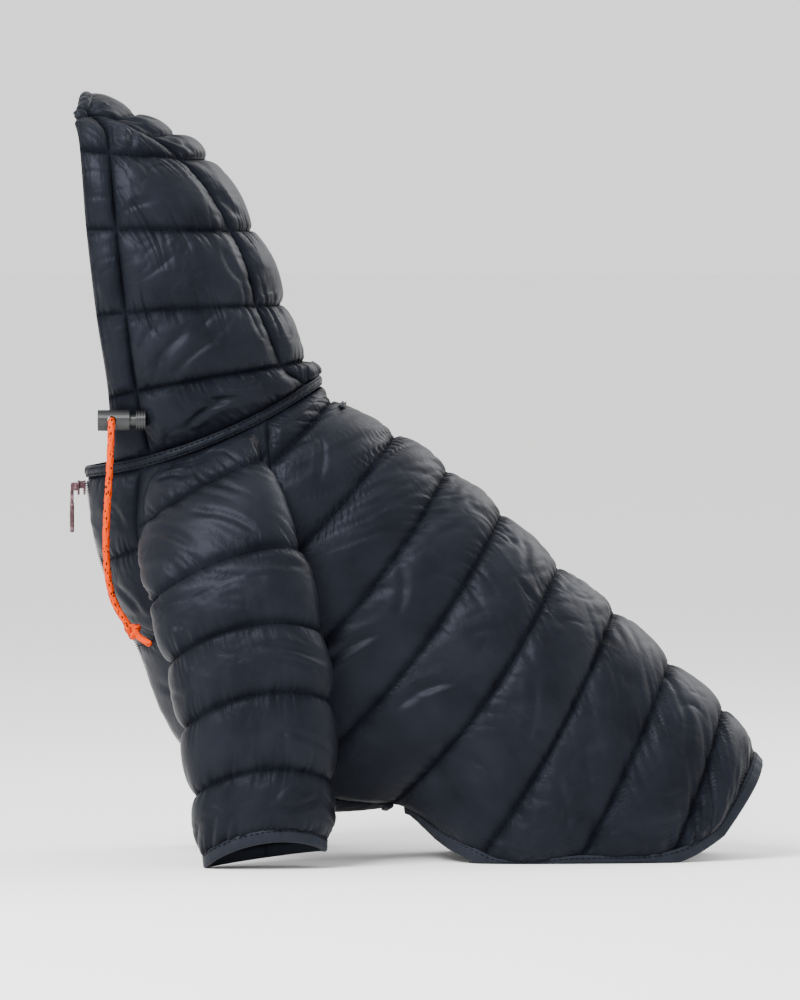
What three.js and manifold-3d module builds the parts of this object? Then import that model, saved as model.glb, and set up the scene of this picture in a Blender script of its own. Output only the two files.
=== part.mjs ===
import * as THREE from 'three';
import { mergeVertices } from 'three/addons/utils/BufferGeometryUtils.js';
import Module from 'manifold-3d';

const wasm = await Module();
wasm.setup();

// Driving dimensions in millimetres. +X runs to the tail, +Z is up, the coat faces -X.
const wall = 1.6;              // stitched cloth at a quilt line
const seamGap = 0.3;           // clear space between two sewn pieces
const bodyLoft = 3.6;          // height of a filled channel over its stitch lines
const chestLoft = 3.0;
const sleeveLoft = 3.8;
const sleeveInnerLoft = 1.8;   // channels pressed flat against the body
const hoodLoft = 4.4;
const bandLoft = 3.2;          // tunnel band round the face opening
const edgeFade = 9;            // how far a channel takes to rise from a side seam
const bindingWide = 6.0;
const bindingThick = 3.2;
const bindingGap = 0.6;        // from a panel's cut edge to the binding on it
const collarTall = 6.0;
const collarRise = new THREE.Vector3(-0.12, 0, 0.993);
const zipTapeWide = 3.0;
const zipCoilWide = 3.2;
const zipHalfGap = 5.2;        // from the centre line to the chest panel's edge
const zipEnd = 4.9;            // quilt row where the zip stops at the belly
const cordDiameter = 3.8;
const channelSteps = [0, 0.14, 0.5, 0.86];

const navy = { color: 0x2b2e36, roughness: 0.55, metalness: 0 };
const trim = { color: 0x24262c, roughness: 0.7, metalness: 0 };
const plastic = { color: 0x151618, roughness: 0.4, metalness: 0 };
const zipBrown = { color: 0x4a2f33, roughness: 0.45, metalness: 0.2 };
const orange = { color: 0xff5a14, roughness: 0.75, metalness: 0 };

// Quilt rows of the body, neck to tail: back point, lowest point, half width,
// the angle at which the lowest point is reached, and the row's bow to the tail.
const bodyRows = [
  { at: 0, backX: -53, backZ: 254, lowX: -177, lowZ: 205, half: 38, wrap: 180, bow: 8 },
  { at: 1, backX: -47.5, backZ: 243.9, lowX: -169, lowZ: 160, half: 47, wrap: 180, bow: 10 },
  { at: 2, backX: -13.3, backZ: 226, lowX: -149.5, lowZ: 114.5, half: 52, wrap: 180, bow: 13 },
  { at: 3, backX: 15.2, backZ: 206.5, lowX: -125, lowZ: 60.5, half: 54, wrap: 180, bow: 14 },
  { at: 4, backX: 44.5, backZ: 183.3, lowX: -83, lowZ: 30, half: 54, wrap: 180, bow: 12 },
  { at: 5, backX: 74.8, backZ: 154.6, lowX: -17.5, lowZ: 27.5, half: 55, wrap: 180, bow: 9 },
  { at: 6, backX: 105.1, backZ: 130.8, lowX: 29, lowZ: 9, half: 55, wrap: 112, bow: 9 },
  { at: 7, backX: 134.9, backZ: 102.7, lowX: 83, lowZ: 6, half: 52, wrap: 98, bow: 6 },
  { at: 8, backX: 163.8, backZ: 78, lowX: 132.5, lowZ: 8, half: 44, wrap: 84, bow: 6 },
  { at: 9, backX: 182, backZ: 54.2, lowX: 170.5, lowZ: 27.5, half: 30, wrap: 66, bow: 4 },
];

// Angles round the body, in degrees from the back line, where the panels meet.
const bodySeams = [
  { at: 0, back: 59, front: 124 },
  { at: 1, back: 66, front: 134 },
  { at: 1.8, back: 92, front: 134 },
  { at: 2.2, back: 116.5, front: 117.5 },
  { at: 3, back: 128, front: 128 },
  { at: 4, back: 143, front: 143 },
  { at: 5, back: 160, front: 160 },
];
const armpitRow = 2.2;
const hemStart = 5;
const hemAngles = [
  { at: 5, edge: 160 },
  { at: 5.4, edge: 149 },
  { at: 6, edge: 112 },
  { at: 7, edge: 98 },
  { at: 8, edge: 84 },
  { at: 9, edge: 66 },
];

// Quilt rows of the hood, neck to peak, in the same terms as the body.
const hoodRows = [
  { at: 0, backX: 0, backZ: 0, lowX: 0, lowZ: 0, half: 38, wrap: 134, bow: 8 },
  { at: 1, backX: -62.9, backZ: 267.1, lowX: -164.5, lowZ: 248, half: 45, wrap: 128, bow: -2 },
  { at: 2, backX: -75, backZ: 297.7, lowX: -171, lowZ: 292, half: 49, wrap: 122, bow: -2 },
  { at: 3, backX: -91, backZ: 337.6, lowX: -176.5, lowZ: 339.5, half: 46, wrap: 118, bow: 0 },
  { at: 4, backX: -115, backZ: 375.5, lowX: -180, lowZ: 382, half: 37, wrap: 110, bow: 1 },
  { at: 4.5, backX: -142, backZ: 392.5, lowX: -182.5, lowZ: 394, half: 28, wrap: 100, bow: 1 },
  { at: 5, backX: -178, backZ: 410, lowX: -185, lowZ: 403, half: 19, wrap: 90, bow: 7 },
];
const hoodSeams = [
  { at: 0, crown: 30, band: 118 },
  { at: 1, crown: 34, band: 112 },
  { at: 2, crown: 36, band: 106 },
  { at: 3, crown: 34, band: 101 },
  { at: 4, crown: 44, band: 91 },
  { at: 4.5, crown: 56, band: 76 },
  { at: 4.8, crown: 61, band: 67 },
  { at: 5, crown: 63, band: 63.8 },
];
const hoodSideEnd = 4.8;

// Quilt rows of the sleeve, neck to cuff: front and back edge as seen from the side,
// inner and outer reach from the middle, the arch of the outer side, the body row it
// is sewn to, and how much of the shape is the sleeve's own tube.
const sleeveRows = [
  { at: 0, frontX: -151, frontZ: 213, backX: -83.5, backZ: 237, inY: 18, outY: 40, arch: 0, seam: 0, own: 0 },
  { at: 1, frontX: -147, frontZ: 180, backX: -81, backZ: 216, inY: 40, outY: 62, arch: 4, seam: 0.75, own: 0.8 },
  { at: 2, frontX: -139, frontZ: 141, backX: -65, backZ: 168, inY: 63, outY: 88, arch: 9, seam: 1.8, own: 1 },
  { at: 2.35, frontX: -135, frontZ: 130, backX: -60, backZ: 154, inY: 63, outY: 92, arch: 10, seam: 2.2, own: 1 },
  { at: 3, frontX: -129, frontZ: 109, backX: -54, backZ: 125, inY: 63, outY: 98, arch: 12, seam: 2.2, own: 1 },
  { at: 4, frontX: -121.5, frontZ: 74, backX: -49, backZ: 88, inY: 65.5, outY: 101, arch: 12, seam: 2.2, own: 1 },
  { at: 5, frontX: -115.5, frontZ: 38.5, backX: -48, backZ: 46, inY: 65.5, outY: 101, arch: 11, seam: 2.2, own: 1 },
  { at: 6, frontX: -111.5, frontZ: 5.6, backX: -50, backZ: 14.5, inY: 66, outY: 99, arch: 10, seam: 2.2, own: 1 },
];
const sleeveArmpit = 2.35;
const sleeveSlit = 0.35;       // degrees left open on each side of the underarm seam

// Value of every column of a table at t, by a curve that passes through the rows.
function sample(table, t) {
  const last = table.length - 1;
  let i = 0;
  while (i < last - 1 && t > table[i + 1].at) i += 1;
  const [a, b] = [table[i], table[i + 1]];
  const span = b.at - a.at;
  const f = Math.min(1.02, Math.max(-0.02, (t - a.at) / span));
  const out = {};
  for (const key of Object.keys(a)) {
    const before = i > 0 ? table[i - 1] : a;
    const after = i + 2 <= last ? table[i + 2] : b;
    const slopeA = (b[key] - before[key]) / (b.at - before.at) * span;
    const slopeB = (after[key] - a[key]) / (after.at - a.at) * span;
    const f2 = f * f;
    const f3 = f2 * f;
    out[key] = (2 * f3 - 3 * f2 + 1) * a[key] + (f3 - 2 * f2 + f) * slopeA
      + (3 * f2 - 2 * f3) * b[key] + (f3 - f2) * slopeB;
  }
  return out;
}

const rad = THREE.MathUtils.degToRad;
const mix = THREE.MathUtils.lerp;
const smooth = THREE.MathUtils.smoothstep;

// A point of a quilt row at an angle from the back line, on the cloth's inner face.
function rowPoint(table, t, angle) {
  const row = sample(table, t);
  const share = (1 - Math.cos(rad(angle))) / (1 - Math.cos(rad(row.wrap)));
  const dx = row.lowX - row.backX;
  const dz = row.lowZ - row.backZ;
  const length = Math.hypot(dx, dz);
  const bow = row.bow * Math.sin(rad(angle)) ** 2;
  return new THREE.Vector3(
    row.backX + dx * share - bow * dz / length,
    -row.half * Math.sin(rad(angle)),
    row.backZ + dz * share + bow * dx / length,
  );
}

const bodyPoint = (t, angle) => rowPoint(bodyRows, t, angle);

// The hood starts on the neck row, lifted by the collar seam.
const hoodLift = collarTall + 2 * seamGap;
const neckShare = (1 - Math.cos(rad(hoodRows[0].wrap))) / 2;
Object.assign(hoodRows[0], {
  backX: bodyRows[0].backX + collarRise.x * hoodLift,
  backZ: bodyRows[0].backZ + collarRise.z * hoodLift,
  lowX: mix(bodyRows[0].backX, bodyRows[0].lowX, neckShare) + collarRise.x * hoodLift,
  lowZ: mix(bodyRows[0].backZ, bodyRows[0].lowZ, neckShare) + collarRise.z * hoodLift,
});
const hoodPoint = (t, angle) => rowPoint(hoodRows, t, angle);

// Outward direction of a surface at (u, v), from its slopes.
function slopeNormal(surface, u, v, du, dv) {
  const alongU = surface(u + du, v).sub(surface(u - du, v));
  const alongV = surface(u, v + dv).sub(surface(u, v - dv));
  return alongU.cross(alongV).normalize();
}

// At the neck every piece stands straight out from the collar.
function neckNormal(angle) {
  const along = bodyPoint(0, angle + 0.5).sub(bodyPoint(0, angle - 0.5));
  return collarRise.clone().cross(along).normalize();
}

function bodyNormal(t, angle) {
  const own = slopeNormal(bodyPoint, t, angle, 0.02, 0.5).negate();
  const share = smooth(t, 0, 0.9);
  return neckNormal(angle).lerp(own, share).normalize();
}

function hoodNormal(t, angle) {
  const own = slopeNormal(hoodPoint, t, angle, 0.02, 0.5);
  const share = smooth(t, 0, 0.3);
  return neckNormal(angle).lerp(own, share).normalize();
}

// Height of a filled channel: none on the stitch lines, full between them.
function channel(t) {
  const f = t - Math.floor(t + 1e-9);
  return Math.max(0, Math.sin(Math.PI * f)) ** 0.6;
}

function edgeRise(distance) {
  return Math.min(1, Math.max(0, distance) / edgeFade) ** 0.6;
}

// A closed mesh from a list of points and triangles, turned to face out.
function solid(name, points, faces, look) {
  let volume = 0;
  const a = new THREE.Vector3();
  for (const [i, j, k] of faces) volume += a.copy(points[i]).cross(points[j]).dot(points[k]);
  const geometry = new THREE.BufferGeometry();
  geometry.setAttribute('position', new THREE.Float32BufferAttribute(points.flatMap((p) => [p.x, p.y, p.z]), 3));
  geometry.setIndex(faces.flatMap(([i, j, k]) => (volume > 0 ? [i, j, k] : [i, k, j])));
  geometry.computeVertexNormals();
  const mesh = new THREE.Mesh(geometry, new THREE.MeshStandardMaterial(look));
  mesh.name = name;
  return mesh;
}

// A wall of cloth: a grid of rows and columns, its inner face plain and its outer face
// moved out along the normal by the thickness, with a rim all round.
function clothWall(name, rowCount, columnCount, pointAt, normalAt, thickAt, look) {
  const points = [];
  const faces = [];
  const index = (layer, i, j) => (layer * rowCount + i) * columnCount + j;
  for (const layer of [0, 1]) {
    for (let i = 0; i < rowCount; i += 1) {
      for (let j = 0; j < columnCount; j += 1) {
        const p = pointAt(i, j);
        if (layer === 1) p.addScaledVector(normalAt(i, j), thickAt(i, j));
        p.z = Math.max(0, p.z);
        points.push(p);
      }
    }
  }
  const quad = (a, b, c, d) => faces.push([a, b, c], [a, c, d]);
  for (let i = 0; i < rowCount - 1; i += 1) {
    for (let j = 0; j < columnCount - 1; j += 1) {
      quad(index(0, i, j), index(0, i, j + 1), index(0, i + 1, j + 1), index(0, i + 1, j));
      quad(index(1, i, j), index(1, i + 1, j), index(1, i + 1, j + 1), index(1, i, j + 1));
    }
  }
  for (let i = 0; i < rowCount - 1; i += 1) {
    const j = columnCount - 1;
    quad(index(0, i, 0), index(0, i + 1, 0), index(1, i + 1, 0), index(1, i, 0));
    quad(index(0, i + 1, j), index(0, i, j), index(1, i, j), index(1, i + 1, j));
  }
  for (let j = 0; j < columnCount - 1; j += 1) {
    const i = rowCount - 1;
    quad(index(0, 0, j + 1), index(0, 0, j), index(1, 0, j), index(1, 0, j + 1));
    quad(index(0, i, j), index(0, i, j + 1), index(1, i, j + 1), index(1, i, j));
  }
  return solid(name, points, faces, look);
}

// Row positions with a few steps in each channel from first to last.
function quiltStops(first, last) {
  const stops = [];
  for (let base = Math.floor(first); base < last; base += 1) {
    for (const step of channelSteps) {
      const t = base + step;
      if (t > first + 0.05 && t < last - 0.05) stops.push(t);
    }
  }
  return [first, ...stops, last];
}

// The body's rows meet the sleeve's at the armhole, so that both seams share points.
function bodyStops(last) {
  const sewn = quiltStops(0, 6)
    .filter((t) => t < sleeveArmpit)
    .map((t) => sample(sleeveRows, t).seam);
  sewn.push(armpitRow);
  const clear = 0.06;
  const own = quiltStops(0, last).filter((t) => sewn.every((s) => Math.abs(s - t) > clear));
  return [...own, ...sewn].sort((a, b) => a - b);
}

// A panel on a surface of angles, between a left and a right seam angle.
function anglePanel(name, stops, columns, seamsAt, surface, normal, loft, look, side = 1, extra = null) {
  const angleAt = (i, j) => {
    const [low, high] = seamsAt(stops[i]);
    return side * mix(low, high, j / columns);
  };
  const thickAt = (i, j) => {
    const t = stops[i];
    const [low, high] = seamsAt(t);
    const edgeOf = (angle) => surface(t, side * angle).distanceTo(surface(t, angleAt(i, j)));
    const nearest = Math.min(edgeOf(low), edgeOf(high));
    const ends = Math.min(t - stops[0], stops[stops.length - 1] - t) * 30;
    const rise = channel(t) * edgeRise(nearest) * (ends <= 0 ? 0 : 1);
    return wall + loft * rise * (extra ? extra(t, angleAt(i, j)) : 1);
  };
  return clothWall(
    name,
    stops.length,
    columns + 1,
    (i, j) => surface(stops[i], angleAt(i, j)),
    (i, j) => normal(stops[i], angleAt(i, j)),
    thickAt,
    look,
  );
}

// Degrees at a row that make half a seam gap along the surface.
function gapAngle(surface, t, angle) {
  const perDegree = surface(t, angle + 0.5).distanceTo(surface(t, angle - 0.5));
  return seamGap * 0.6 / perDegree;
}

function backEdge(t) {
  const raw = t <= hemStart ? sample(bodySeams, t).back : sample(hemAngles, t).edge;
  return raw - gapAngle(bodyPoint, t, raw);
}

function chestSeams(t) {
  const seams = sample(bodySeams, t);
  const raw = t > armpitRow ? seams.back : seams.front;
  const row = sample(bodyRows, t);
  const zipAngle = 180 - THREE.MathUtils.radToDeg(Math.asin(zipHalfGap / row.half));
  return [raw + gapAngle(bodyPoint, t, raw), zipAngle];
}

// Channels under the sleeve are pressed flatter.
function underSleeve(t, angle) {
  const alongSide = smooth(Math.abs(angle), 60, 85) * (1 - smooth(t, 4.2, 5.2)) * smooth(t, 0.3, 1);
  const atNape = (1 - smooth(t, 0.8, 1.1)) * (1 - smooth(Math.abs(angle), 40, 70));
  return 1 - 0.6 * alongSide - 0.5 * atNape;
}

const coat = new THREE.Group();

coat.add(anglePanel(
  'back_panel',
  bodyStops(9),
  14,
  (t) => [-backEdge(t), backEdge(t)],
  bodyPoint,
  bodyNormal,
  bodyLoft,
  navy,
  1,
  underSleeve,
));

const sides = [{ word: 'left', sign: 1 }, { word: 'right', sign: -1 }];
for (const { word, sign } of sides) {
  coat.add(anglePanel(
    `chest_panel_${word}`,
    bodyStops(hemStart),
    5,
    chestSeams,
    bodyPoint,
    bodyNormal,
    chestLoft,
    navy,
    sign,
    underSleeve,
  ));
}

// The sleeve: at the neck it is the body's own row, lower down it is its own tube.
function tubePoint(row, turn, sign) {
  const across = Math.cos(turn);
  const midY = (row.inY + row.outY) / 2;
  const halfY = (row.outY - row.inY) / 2;
  const reach = (1 - Math.sin(turn)) / 2;
  return new THREE.Vector3(
    mix(row.frontX, row.backX, reach),
    -sign * (midY + halfY * across),
    mix(row.frontZ, row.backZ, reach) + row.arch * Math.max(0, across) ** 1.4,
  );
}

function sleevePoint(t, q, sign) {
  const row = sample(sleeveRows, t);
  const seams = sample(bodySeams, Math.min(row.seam, armpitRow));
  const low = seams.back + 2 * gapAngle(bodyPoint, row.seam, seams.back);
  const high = seams.front - 2 * gapAngle(bodyPoint, row.seam, seams.front);
  const flat = bodyPoint(row.seam, sign * mix(low, high, (q + 1) / 2));
  const closed = t >= sleeveArmpit;
  const opened = mix(0.62, 1, smooth(t, 0, sleeveArmpit));
  const limit = Math.PI * opened - rad(sleeveSlit);
  const tube = tubePoint(row, q * limit, sign);
  if (closed) return tube;
  const nearEdge = Math.abs(q) ** mix(2.5, 18, smooth(t, 0.9, 1.9));
  return flat.lerp(tube, row.own * (1 - nearEdge));
}

function sleeveNormal(t, q, sign) {
  const clampedQ = Math.min(0.97, Math.max(-0.97, q));
  const surface = (u, v) => sleevePoint(u, v, sign);
  const own = slopeNormal(surface, Math.max(0.03, t), clampedQ, 0.02, 0.02).multiplyScalar(-sign);
  if (t >= sleeveArmpit) return own;
  const row = sample(sleeveRows, t);
  const seams = sample(bodySeams, row.seam);
  const angle = sign * mix(seams.back, seams.front, (q + 1) / 2);
  const flat = bodyNormal(row.seam, angle);
  const share = Math.max(Math.abs(q) ** 12, 1 - smooth(t, 0, 0.3));
  return own.lerp(flat, share).normalize();
}

const sleeveStops = quiltStops(0, 6);
const sleeveColumns = 18;
for (const { word, sign } of sides) {
  const qAt = (j) => -1 + 2 * j / sleeveColumns;
  coat.add(clothWall(
    `sleeve_${word}`,
    sleeveStops.length,
    sleeveColumns + 1,
    (i, j) => sleevePoint(sleeveStops[i], qAt(j), sign),
    (i, j) => sleeveNormal(sleeveStops[i], qAt(j), sign),
    (i, j) => {
      const t = sleeveStops[i];
      const q = Math.abs(qAt(j));
      const loft = mix(sleeveLoft, sleeveInnerLoft, smooth(q, 0.55, 0.8));
      const sewn = t < sleeveArmpit ? smooth(1 - q, 0.1, 0.5) : 1;
      return wall + loft * channel(t) * sewn;
    },
    navy,
  ));
}

// The hood: a crown gusset, two sides and the tunnel band round the face.
const hoodStops = quiltStops(0, 5);
const hoodSideStops = quiltStops(0, hoodSideEnd);
coat.add(anglePanel(
  'hood_crown',
  hoodStops,
  6,
  (t) => {
    const edge = sample(hoodSeams, t).crown;
    return [-edge + gapAngle(hoodPoint, t, edge), edge - gapAngle(hoodPoint, t, edge)];
  },
  hoodPoint,
  hoodNormal,
  hoodLoft,
  navy,
));
for (const { word, sign } of sides) {
  coat.add(anglePanel(
    `hood_side_${word}`,
    hoodSideStops,
    6,
    (t) => {
      const seam = sample(hoodSeams, t);
      return [seam.crown + gapAngle(hoodPoint, t, seam.crown), seam.band - gapAngle(hoodPoint, t, seam.band)];
    },
    hoodPoint,
    hoodNormal,
    hoodLoft,
    navy,
    sign,
  ));
  coat.add(anglePanel(
    `hood_band_${word}`,
    hoodStops,
    3,
    (t) => {
      const seam = sample(hoodSeams, t);
      return [seam.band + gapAngle(hoodPoint, t, seam.band), sample(hoodRows, t).wrap];
    },
    hoodPoint,
    hoodNormal,
    bandLoft,
    navy,
    sign,
  ));
}

// The collar seam band stands between the body's neck row and the hood.
const collarColumns = 40;
const collarLimit = 172;
coat.add(clothWall(
  'collar_band',
  3,
  collarColumns + 1,
  (i, j) => {
    const angle = mix(-collarLimit, collarLimit, j / collarColumns);
    return bodyPoint(0, angle).addScaledVector(collarRise, seamGap + collarTall * i / 2);
  },
  (i, j) => neckNormal(mix(-collarLimit, collarLimit, j / collarColumns)),
  (i) => (i === 1 ? bindingThick : bindingThick - 0.6),
  trim,
));

// A binding: a round-edged strip that carries on from a panel's edge.
function binding(name, stations, edgeAt, outAt, normalAt, look, wide = bindingWide) {
  const section = [
    { out: 0, up: 0 },
    { out: wide * 0.75, up: 0 },
    { out: wide, up: 0.3 },
    { out: wide, up: 0.7 },
    { out: wide * 0.75, up: 1 },
    { out: 0, up: 1 },
  ];
  const points = [];
  const faces = [];
  const n = section.length;
  for (let i = 0; i < stations; i += 1) {
    const p = edgeAt(i);
    const out = outAt(i);
    const up = normalAt(i);
    for (const corner of section) {
      const v = p.clone().addScaledVector(out, bindingGap + corner.out);
      v.addScaledVector(up, corner.up * bindingThick - 0.5);
      v.z = Math.max(0, v.z);
      points.push(v);
    }
  }
  for (let i = 0; i < stations - 1; i += 1) {
    for (let k = 0; k < n; k += 1) {
      const a = i * n + k;
      const b = i * n + (k + 1) % n;
      faces.push([a, b, b + n], [a, b + n, a + n]);
    }
  }
  for (let k = 1; k < n - 1; k += 1) {
    const end = (stations - 1) * n;
    faces.push([0, k + 1, k], [end, end + k, end + k + 1]);
  }
  return solid(name, points, faces, look);
}

// The hem path follows the back panel's edge down one side, over the tail and back.
const hemSide = quiltStops(0, 9)
  .filter((t) => t > hemStart && t < 9)
  .map((t) => ({ t, angle: backEdge(t) }));
const tailEdge = backEdge(9);
const hemPath = [...hemSide];
const tailSteps = 10;
for (let k = 0; k <= tailSteps; k += 1) hemPath.push({ t: 9, angle: mix(tailEdge, -tailEdge, k / tailSteps) });
hemPath.push(...hemSide.slice().reverse().map(({ t, angle }) => ({ t, angle: -angle })));
const hemPoints = hemPath.map(({ t, angle }) => bodyPoint(t, angle));
const hemNormals = hemPath.map(({ t, angle }) => bodyNormal(t, angle));
const hemOuts = hemPath.map((stop, i) => {
  const before = hemPoints[Math.max(0, i - 1)];
  const after = hemPoints[Math.min(hemPoints.length - 1, i + 1)];
  const along = after.clone().sub(before).normalize();
  return along.cross(hemNormals[i]).normalize();
});
coat.add(binding(
  'hem_binding',
  hemPoints.length,
  (i) => hemPoints[i].clone(),
  (i) => hemOuts[i],
  (i) => hemNormals[i],
  trim,
));

const bellySteps = 5;
for (const { word, sign } of sides) {
  const angleOf = (i) => sign * mix(backEdge(hemStart) + 2, 180 - 6.5, i / bellySteps);
  coat.add(binding(
    `belly_binding_${word}`,
    bellySteps + 1,
    (i) => bodyPoint(hemStart, angleOf(i)),
    (i) => bodyPoint(hemStart, angleOf(i)).sub(bodyPoint(hemStart - 0.05, angleOf(i))).normalize(),
    (i) => bodyNormal(hemStart, angleOf(i)),
    trim,
    bindingWide * 0.7,
  ));
}

const cuffStations = 25;
for (const { word, sign } of sides) {
  const qAt = (i) => -1 + 2 * i / (cuffStations - 1);
  coat.add(binding(
    `cuff_binding_${word}`,
    cuffStations,
    (i) => sleevePoint(6, qAt(i), sign),
    (i) => sleevePoint(6, qAt(i), sign).sub(sleevePoint(5.8, qAt(i), sign)).normalize(),
    (i) => sleeveNormal(5.95, qAt(i), sign),
    trim,
    bindingWide,
  ));
}

// The zip runs down the centre front from the neck to the belly.
const zipStops = Array.from({ length: 25 }, (v, i) => 0.04 + (zipEnd - 0.04) * i / 24);
function zipStrip(name, fromY, toY, lift, thick, look) {
  const angleFor = (t, y) => {
    const half = sample(bodyRows, t).half;
    return 180 - THREE.MathUtils.radToDeg(Math.asin(y / half));
  };
  return clothWall(
    name,
    zipStops.length,
    2,
    (i, j) => {
      const t = zipStops[i];
      const angle = angleFor(t, j === 0 ? fromY : toY);
      return bodyPoint(t, angle).addScaledVector(bodyNormal(t, 180), lift);
    },
    (i) => bodyNormal(zipStops[i], 180),
    () => thick,
    look,
  );
}
const tapeInner = zipCoilWide / 2 + seamGap;
coat.add(zipStrip('zip_tape_left', tapeInner, tapeInner + zipTapeWide, 0.3, 1, trim));
coat.add(zipStrip('zip_tape_right', -tapeInner - zipTapeWide, -tapeInner, 0.3, 1, trim));
coat.add(zipStrip('zip_coil', -zipCoilWide / 2, zipCoilWide / 2, 0, 1.9, zipBrown));

// A leash slot: a small welt on the back, made from the panel's points moved out.
const slotRow = 1.22;
const slotAngle = 13;
coat.add(clothWall(
  'leash_slot',
  4,
  9,
  (i, j) => {
    const t = slotRow + 0.09 * (i / 3 - 0.5);
    const angle = slotAngle * (j / 4 - 1);
    const height = wall + bodyLoft * channel(t) + 0.6;
    return bodyPoint(t, angle).addScaledVector(bodyNormal(t, angle), height);
  },
  (i, j) => bodyNormal(slotRow, slotAngle * (j / 4 - 1)),
  () => 1.2,
  trim,
));

// Joining and cutting of the hard pieces.
function toManifold(geometry) {
  const plain = geometry.index ? geometry.toNonIndexed() : geometry.clone();
  plain.deleteAttribute('normal');
  plain.deleteAttribute('uv');
  const merged = mergeVertices(plain, 1e-4);
  return new wasm.Manifold(new wasm.Mesh({
    numProp: 3,
    vertProperties: new Float32Array(merged.attributes.position.array),
    triVerts: new Uint32Array(merged.index.array),
  }));
}

function fromManifold(name, body, look) {
  const data = body.getMesh();
  const geometry = new THREE.BufferGeometry();
  geometry.setAttribute('position', new THREE.BufferAttribute(new Float32Array(data.vertProperties), 3));
  geometry.setIndex(new THREE.BufferAttribute(new Uint32Array(data.triVerts), 1));
  geometry.computeVertexNormals();
  const mesh = new THREE.Mesh(geometry, new THREE.MeshStandardMaterial(look));
  mesh.name = name;
  return mesh;
}

function rod(radius, length, x, y, z, axis, sidesCount = 20) {
  const geometry = new THREE.CylinderGeometry(radius, radius, length, sidesCount);
  if (axis === 'x') geometry.rotateZ(Math.PI / 2);
  if (axis === 'z') geometry.rotateX(Math.PI / 2);
  geometry.translate(x, y, z);
  return toManifold(geometry);
}

function block(sizeX, sizeY, sizeZ, x, y, z) {
  return toManifold(new THREE.BoxGeometry(sizeX, sizeY, sizeZ).translate(x, y, z));
}

// The cord lock lies along X on the hood's band: a barrel with a sprung plunger.
const lock = { x: -162, y: -46.5, z: 237, radius: 5.6, barrel: 17, head: 5, travel: 3, hole: 2.5 };
const barrelEnd = lock.x + lock.barrel / 2;
const bore = 3.6;
const stem = 3.2;
const barrel = rod(lock.radius, lock.barrel, lock.x, lock.y, lock.z, 'x', 24)
  .subtract(rod(lock.hole, 20, lock.x - 1, lock.y, lock.z, 'y', 16))
  .subtract(rod(bore, 7, barrelEnd - 3, lock.y, lock.z, 'x', 20));
const lockGroup = new THREE.Group();
lockGroup.add(fromManifold('cord_lock_barrel', barrel, plastic));
const headX = barrelEnd + lock.travel + 0.5 + lock.head / 2;
let plunger = rod(lock.radius - 0.3, lock.head, headX, lock.y, lock.z, 'x', 24)
  .add(rod(stem, 5, headX - lock.head / 2 - 2.4, lock.y, lock.z, 'x', 20));
for (const step of [-1.5, 0, 1.5]) {
  const slot = rod(lock.radius + 1, 0.6, headX + step, lock.y, lock.z, 'x', 24)
    .subtract(rod(lock.radius - 0.9, 1, headX + step, lock.y, lock.z, 'x', 24));
  plunger = plunger.subtract(slot);
}
lockGroup.add(fromManifold('cord_lock_plunger', plunger, plastic));
coat.add(lockGroup);

// The cord comes out of the band through the lock and hangs down the chest to a knot.
const cordRoute = [
  [-163, -38.5, 237], [-163, -46, 237], [-163, -52.5, 236.6], [-163, -55.6, 234],
  [-163.2, -56.2, 229], [-163.8, -54.8, 216], [-164.6, -52, 202], [-165.6, -48.6, 188],
  [-166.2, -45.4, 174], [-166, -42.6, 161], [-164.6, -40.6, 149], [-161.4, -39.6, 138],
  [-155.4, -39.9, 127.7],
];
const cordCurve = new THREE.CatmullRomCurve3(cordRoute.map(([x, y, z]) => new THREE.Vector3(x, y, z)));
const cordSection = new THREE.Shape(Array.from({ length: 8 }, (v, i) => {
  const turn = i / 8 * Math.PI * 2;
  return new THREE.Vector2(Math.cos(turn), Math.sin(turn)).multiplyScalar(cordDiameter / 2);
}));
const cordSolid = new THREE.ExtrudeGeometry(cordSection, { steps: 36, extrudePath: cordCurve, bevelEnabled: false });
coat.add(fromManifold('drawcord', toManifold(cordSolid), orange));

const knotPlace = { x: -152.3, y: -40.6, z: 124.2, radius: 4.1 };
const knotBall = new THREE.SphereGeometry(knotPlace.radius, 12, 8);
knotBall.scale(1.15, 0.85, 1).translate(knotPlace.x, knotPlace.y, knotPlace.z);
const tailRoute = new THREE.CatmullRomCurve3([
  new THREE.Vector3(knotPlace.x, knotPlace.y, knotPlace.z),
  new THREE.Vector3(-146.5, -43.5, 119.5),
  new THREE.Vector3(-142, -46.5, 117),
]);
const tailSolid = new THREE.ExtrudeGeometry(cordSection, { steps: 6, extrudePath: tailRoute, bevelEnabled: false });
coat.add(fromManifold('drawcord_knot', toManifold(knotBall).add(toManifold(tailSolid)), orange));

// The slider sits at the top of the closed zip, with a hinged pull tab.
const slider = { x: -181, z: 199.5, long: 8, wide: 7.5, deep: 4.2, pin: 0.9, tab: 25 };
const pin = { x: -4.6, z: 0.6 };
const sliderBody = block(slider.deep, slider.wide, slider.long, 0, 0, 0)
  .add(block(4, 1.2, 4.4, -3.6, -1.75, pin.z))
  .add(block(4, 1.2, 4.4, -3.6, 1.75, pin.z))
  .add(rod(slider.pin, 4.4, pin.x, 0, pin.z, 'y', 12));
const sliderMesh = fromManifold('zip_slider', sliderBody, zipBrown);
const pullEye = rod(2.1, 1.7, pin.x, 0, pin.z, 'y', 18);
const pullTab = pullEye
  .add(block(1.6, 1.7, 8, pin.x - 0.5, 0, pin.z - 5.4))
  .add(block(1.8, 4.6, slider.tab - 9, pin.x - 0.5, 0, pin.z - 9 - (slider.tab - 9) / 2))
  .subtract(rod(slider.pin + 0.35, 5, pin.x, 0, pin.z, 'y', 12));
const pullMesh = fromManifold('zip_pull', pullTab, zipBrown);
const zipHead = new THREE.Group();
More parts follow.
